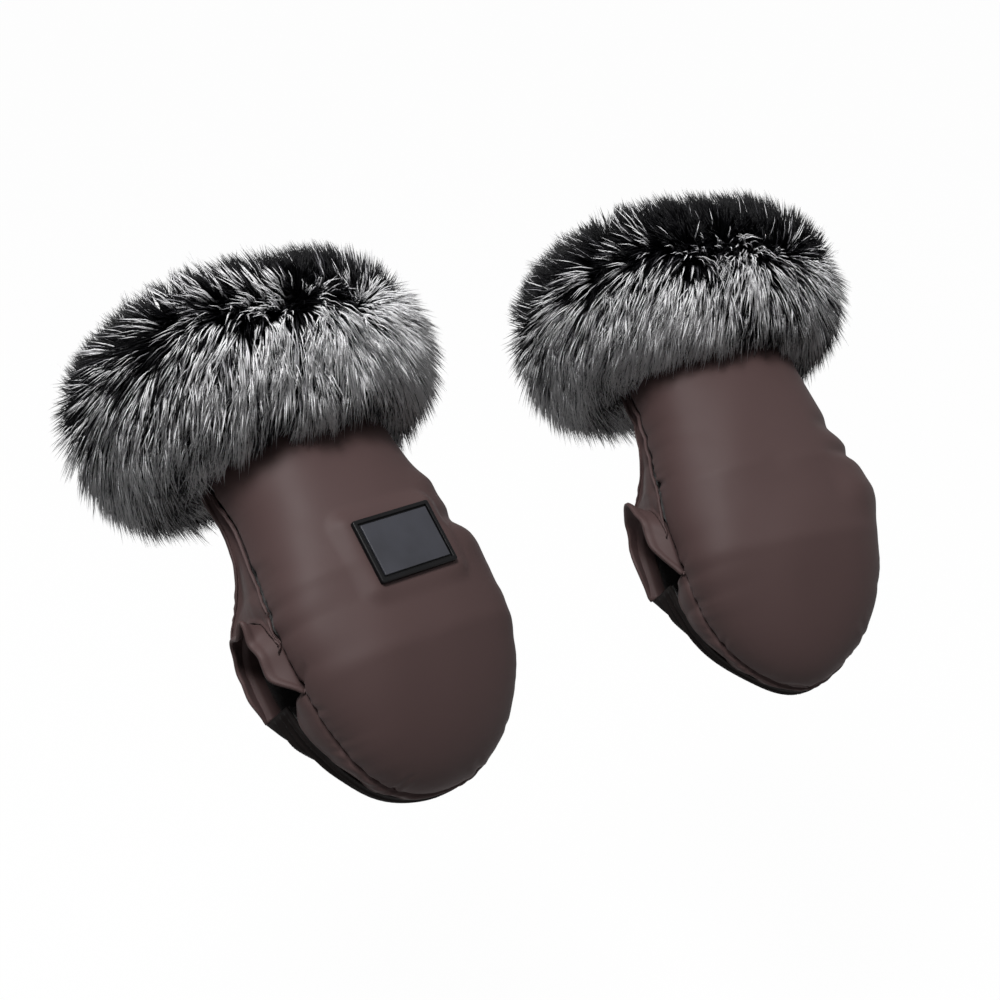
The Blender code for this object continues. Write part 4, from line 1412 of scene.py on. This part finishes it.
def brushed(side, place, out, hand, chance):
    """Each strand's first direction, its bend to the tip, its tone and its girth, in the muff's own frame."""
    count = len(place)
    x, z = place[:, 0], place[:, 2]
    right = np.array((1.0, 0.0, 0.0))
    fall = turn_of(hand).T @ np.array((0.0, 0.0, -1.0))
    round_out = unit(place * (1.0, 1.0, 0.0))
    ridge = RIDGE_Z[side] - RIDGE_FALL * eased(x / 0.09 + 0.5) + 0.005 * drift(place, 0.060, 0.4)
    above = eased((z - ridge + RIDGE_SPREAD) / (2 * RIDGE_SPREAD))[:, None]
    sweep = FRONT_SWEEP * (1.0 - 0.75 * eased(x / 0.080)) * eased(-out[:, 1] + 0.3)
    lower = WITH_GRAVITY * fall + DOWN_THE_MUFF - sweep[:, None] * right
    upper = OVER_THE_RIDGE - INTO_THE_MOUTH * round_out
    wander = np.stack([drift(place, 0.023, phase) for phase in (0.3, 1.1, 2.6)], axis=1)
    wander = wander * (0.20 + 0.25 * above)
    parting, dark = parted(side, place, out)
    field = lower * (1 - above) + upper * above + wander + 0.30 * parting[:, None] * right

    centres = chance.choice(count, count // CLUMP_STRANDS, replace=False)
    tree = KDTree(len(centres))
    for number, centre in enumerate(centres):
        tree.insert(place[centre], number)
    tree.balance()
    clump = np.array([tree.find(point)[1] for point in place])
    field = field + chance.normal(0.0, CLUMP_TURN, (len(centres), 3))[clump]
    field = field + chance.normal(0.0, STRAND_TURN, (count, 3))
    along = field - out * (field * out).sum(axis=1, keepdims=True)

    near_ridge = bell(z - ridge, RIDGE_WIDTH)
    light = PILE_TONE - PILE_TONE_ABOVE * above[:, 0]
    light = light + 0.16 * drift(place, 0.036, 0.9) + 0.16 * drift(place, 0.014, 2.2)
    light -= 0.30 * dark + 0.14 * near_ridge
    for patch_x, patch_z, wide, high, change in FUR_TONES[side]:
        light += change * np.exp(-((x - patch_x) / wide) ** 2 - ((z - patch_z) / high) ** 2)
    light += chance.normal(0.0, CLUMP_TONE, len(centres))[clump] + chance.normal(0.0, STRAND_TONE, count)
    light = np.clip(0.5 + (light - 0.5) * PILE_CONTRAST, 0.0, 0.999)
    tone = (light * STRAND_TONES).astype(int) / STRAND_TONES
    girth = 0.80 + 0.35 * light

    lift = LIFT + LIFT_ABOVE * above[:, 0] + LIFT_RIDGE * near_ridge + LIFT_PALE * light
    lift = np.radians(lift + chance.normal(0.0, LIFT_CHANCE, count))[:, None]
    reach = STRAND_REACH * (0.72 + 0.16 * light[:, None] + 0.24 * chance.random((count, 1)))
    reach = reach * (1.0 - 0.15 * above)
    hem = eased((z - PELT_LOW_Z) / 0.016)[:, None]
    overhang = eased(-x / 0.06) * eased(out[:, 1] + 0.6) * eased((0.150 - z) / 0.03)
    reach = reach * (0.66 + 0.34 * hem) * (1.0 + 0.22 * overhang[:, None])
    axis = unit(out * np.sin(lift) + along * np.cos(lift)) * reach
    bend = (unit(along) * 0.30 - out * 0.20 * (1 - above) + fall * 0.10) * reach

    tips = place + axis + bend
    middle = centres[clump]
    pull = (CLUMP_PULL + CLUMP_PULL_CHANCE * chance.random(len(centres)))[clump][:, None]
    bend = bend + (tips[middle] - tips) * pull
    return axis, bend, tone, girth


def strand_nodes():
    """Nodes that grow a tapered strand from each root, along its axis and bent to its tip."""
    tree = bpy.data.node_groups.new("fur_strands", "GeometryNodeTree")
    for name, way, kind in (("Roots", "INPUT", "Geometry"), ("Root radius", "INPUT", "Float"),
                            ("Sides", "INPUT", "Int"), ("Segments", "INPUT", "Int"),
                            ("Strands", "OUTPUT", "Geometry")):
        tree.interface.new_socket(name, in_out=way, socket_type=f"NodeSocket{kind}")
    grow = Nodes(tree)
    given = tree.nodes.new("NodeGroupInput")
    roots, radius, sides, segments = (Socket(tree, output) for output in list(given.outputs)[:4])

    def stored(mesh, name, value, kind="FLOAT", domain="POINT"):
        return grow.node("GeometryNodeStoreNamedAttribute", settings={"data_type": kind, "domain": domain},
                         Geometry=mesh, Name=name, Value=value)

    def read(name, kind="FLOAT"):
        return grow.node("GeometryNodeInputNamedAttribute", settings={"data_type": kind}, Name=name)

    cone = tree.nodes.new("GeometryNodeMeshCone")
    for name, value in (("Vertices", sides), ("Side Segments", segments), ("Radius Top", 0.0),
                        ("Radius Bottom", 1.0), ("Depth", 1.0)):
        feed(tree, cone.inputs[name], value)
    strand = Socket(tree, cone.outputs["Mesh"])
    x, y, z = grow.parts(grow.node("GeometryNodeInputPosition"))
    strand = stored(strand, "way", z)
    strand = stored(strand, "girth_map", Socket(tree, cone.outputs["UV Map"]), "FLOAT2", "CORNER")
    fuller = (1.0 - z ** 4.0) * ((1.02 - z) ** -1.0)
    strand = grow.node("GeometryNodeSetPosition", Geometry=strand,
                       Position=grow.whole(x * fuller, y * fuller, z))
    axis = read("axis", "FLOAT_VECTOR")
    length = grow.node("ShaderNodeVectorMath", "Value", settings={"operation": "LENGTH"}, at0=axis)
    turn = grow.node("FunctionNodeAlignRotationToVector", settings={"axis": "Z"}, Vector=axis)
    thick = radius * read("girth")
    grown = grow.node("GeometryNodeInstanceOnPoints", Points=roots, Instance=strand, Rotation=turn,
                      Scale=grow.whole(thick, thick, length))
    grown = grow.node("GeometryNodeRealizeInstances", Geometry=grown)
    way = read("way")
    bent = grow.node("ShaderNodeVectorMath", settings={"operation": "SCALE"},
                     at0=read("bend", "FLOAT_VECTOR"), Scale=way * way)
    grown = grow.node("GeometryNodeSetPosition", Geometry=grown, Offset=bent)
    across = grow.parts(read("girth_map", "FLOAT_VECTOR"))[0]
    spot = grow.whole(read("tone") + (across * 0.8 + 0.1) * (1.0 / STRAND_TONES), way * 0.96 + 0.02)
    grown = stored(grown, FUR_MAP, spot, "FLOAT2", "CORNER")
    grown = grow.node("GeometryNodeSetMaterial", Geometry=grown, Material=FINISHES["fur"])
    tree.links.new(grown.link, tree.nodes.new("NodeGroupOutput").inputs[0])
    return tree


STRAND_INPUTS = {"Root radius": STRAND_RADIUS, "Sides": 3, "Segments": 3}


def fur(side, hand, tree):
    """The pile: strands strewn over the pelt, combed, clumped and grown by nodes, in pieces round the
    cuff."""
    chance = np.random.default_rng(FUR_SEED[side])
    place, out = strewn(pelt(90, 320), FUR_PIECES * STRANDS_PER_PIECE, chance)
    axis, bend, tone, girth = brushed(side, place, out, hand, chance)
    turn = turn_of(hand).T
    place = put(place, hand)
    for number in range(FUR_PIECES):
        part = slice(number * STRANDS_PER_PIECE, (number + 1) * STRANDS_PER_PIECE)
        mesh = new_mesh("fur_roots", place[part])
        for name, kind, key, values in (("axis", "FLOAT_VECTOR", "vector", axis @ turn),
                                        ("bend", "FLOAT_VECTOR", "vector", bend @ turn),
                                        ("tone", "FLOAT", "value", tone),
                                        ("girth", "FLOAT", "value", girth)):
            made = mesh.attributes.new(name, kind, "POINT")
            made.data.foreach_set(key, values[part].astype(np.float32).ravel())
        roots = placed("fur_roots", mesh)
        grower = roots.modifiers.new("Strands", "NODES")
        grower.node_group = tree
        for socket in tree.interface.items_tree:
            if socket.name in STRAND_INPUTS:
                grower[socket.identifier] = STRAND_INPUTS[socket.name]
        evaluated = roots.evaluated_get(bpy.context.evaluated_depsgraph_get())
        grown = bpy.data.meshes.new_from_object(evaluated)
        bpy.data.objects.remove(roots, do_unlink=True)
        for name in ("axis", "bend", "tone", "girth", "way", "girth_map"):
            if name in grown.attributes:
                grown.attributes.remove(grown.attributes[name])
        grown.shade_smooth()
        belongs(placed(f"{side}_fur_{number + 1}", grown), "fur")


set_camera()
fur_tree = strand_nodes()
for side, hand in HANDS.items():
    front_panel(side, hand)
    rear_panel(side)
    gussets(side, hand)
    side_strip(side)
    collars(side, hand)
    flap(side, hand)
    cuff_bands(side)
    backing(side, hand)
    fur(side, hand, fur_tree)
    if side == "left":
        patch(side, hand)
    for part in ("hem", "flap"):
        for where in ("inboard", "outboard"):
            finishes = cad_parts[f"{side}_{part}_magnet_{where}"].data.materials
            finishes.clear()
            finishes.append(FINISHES["magnet"])
set_stage()
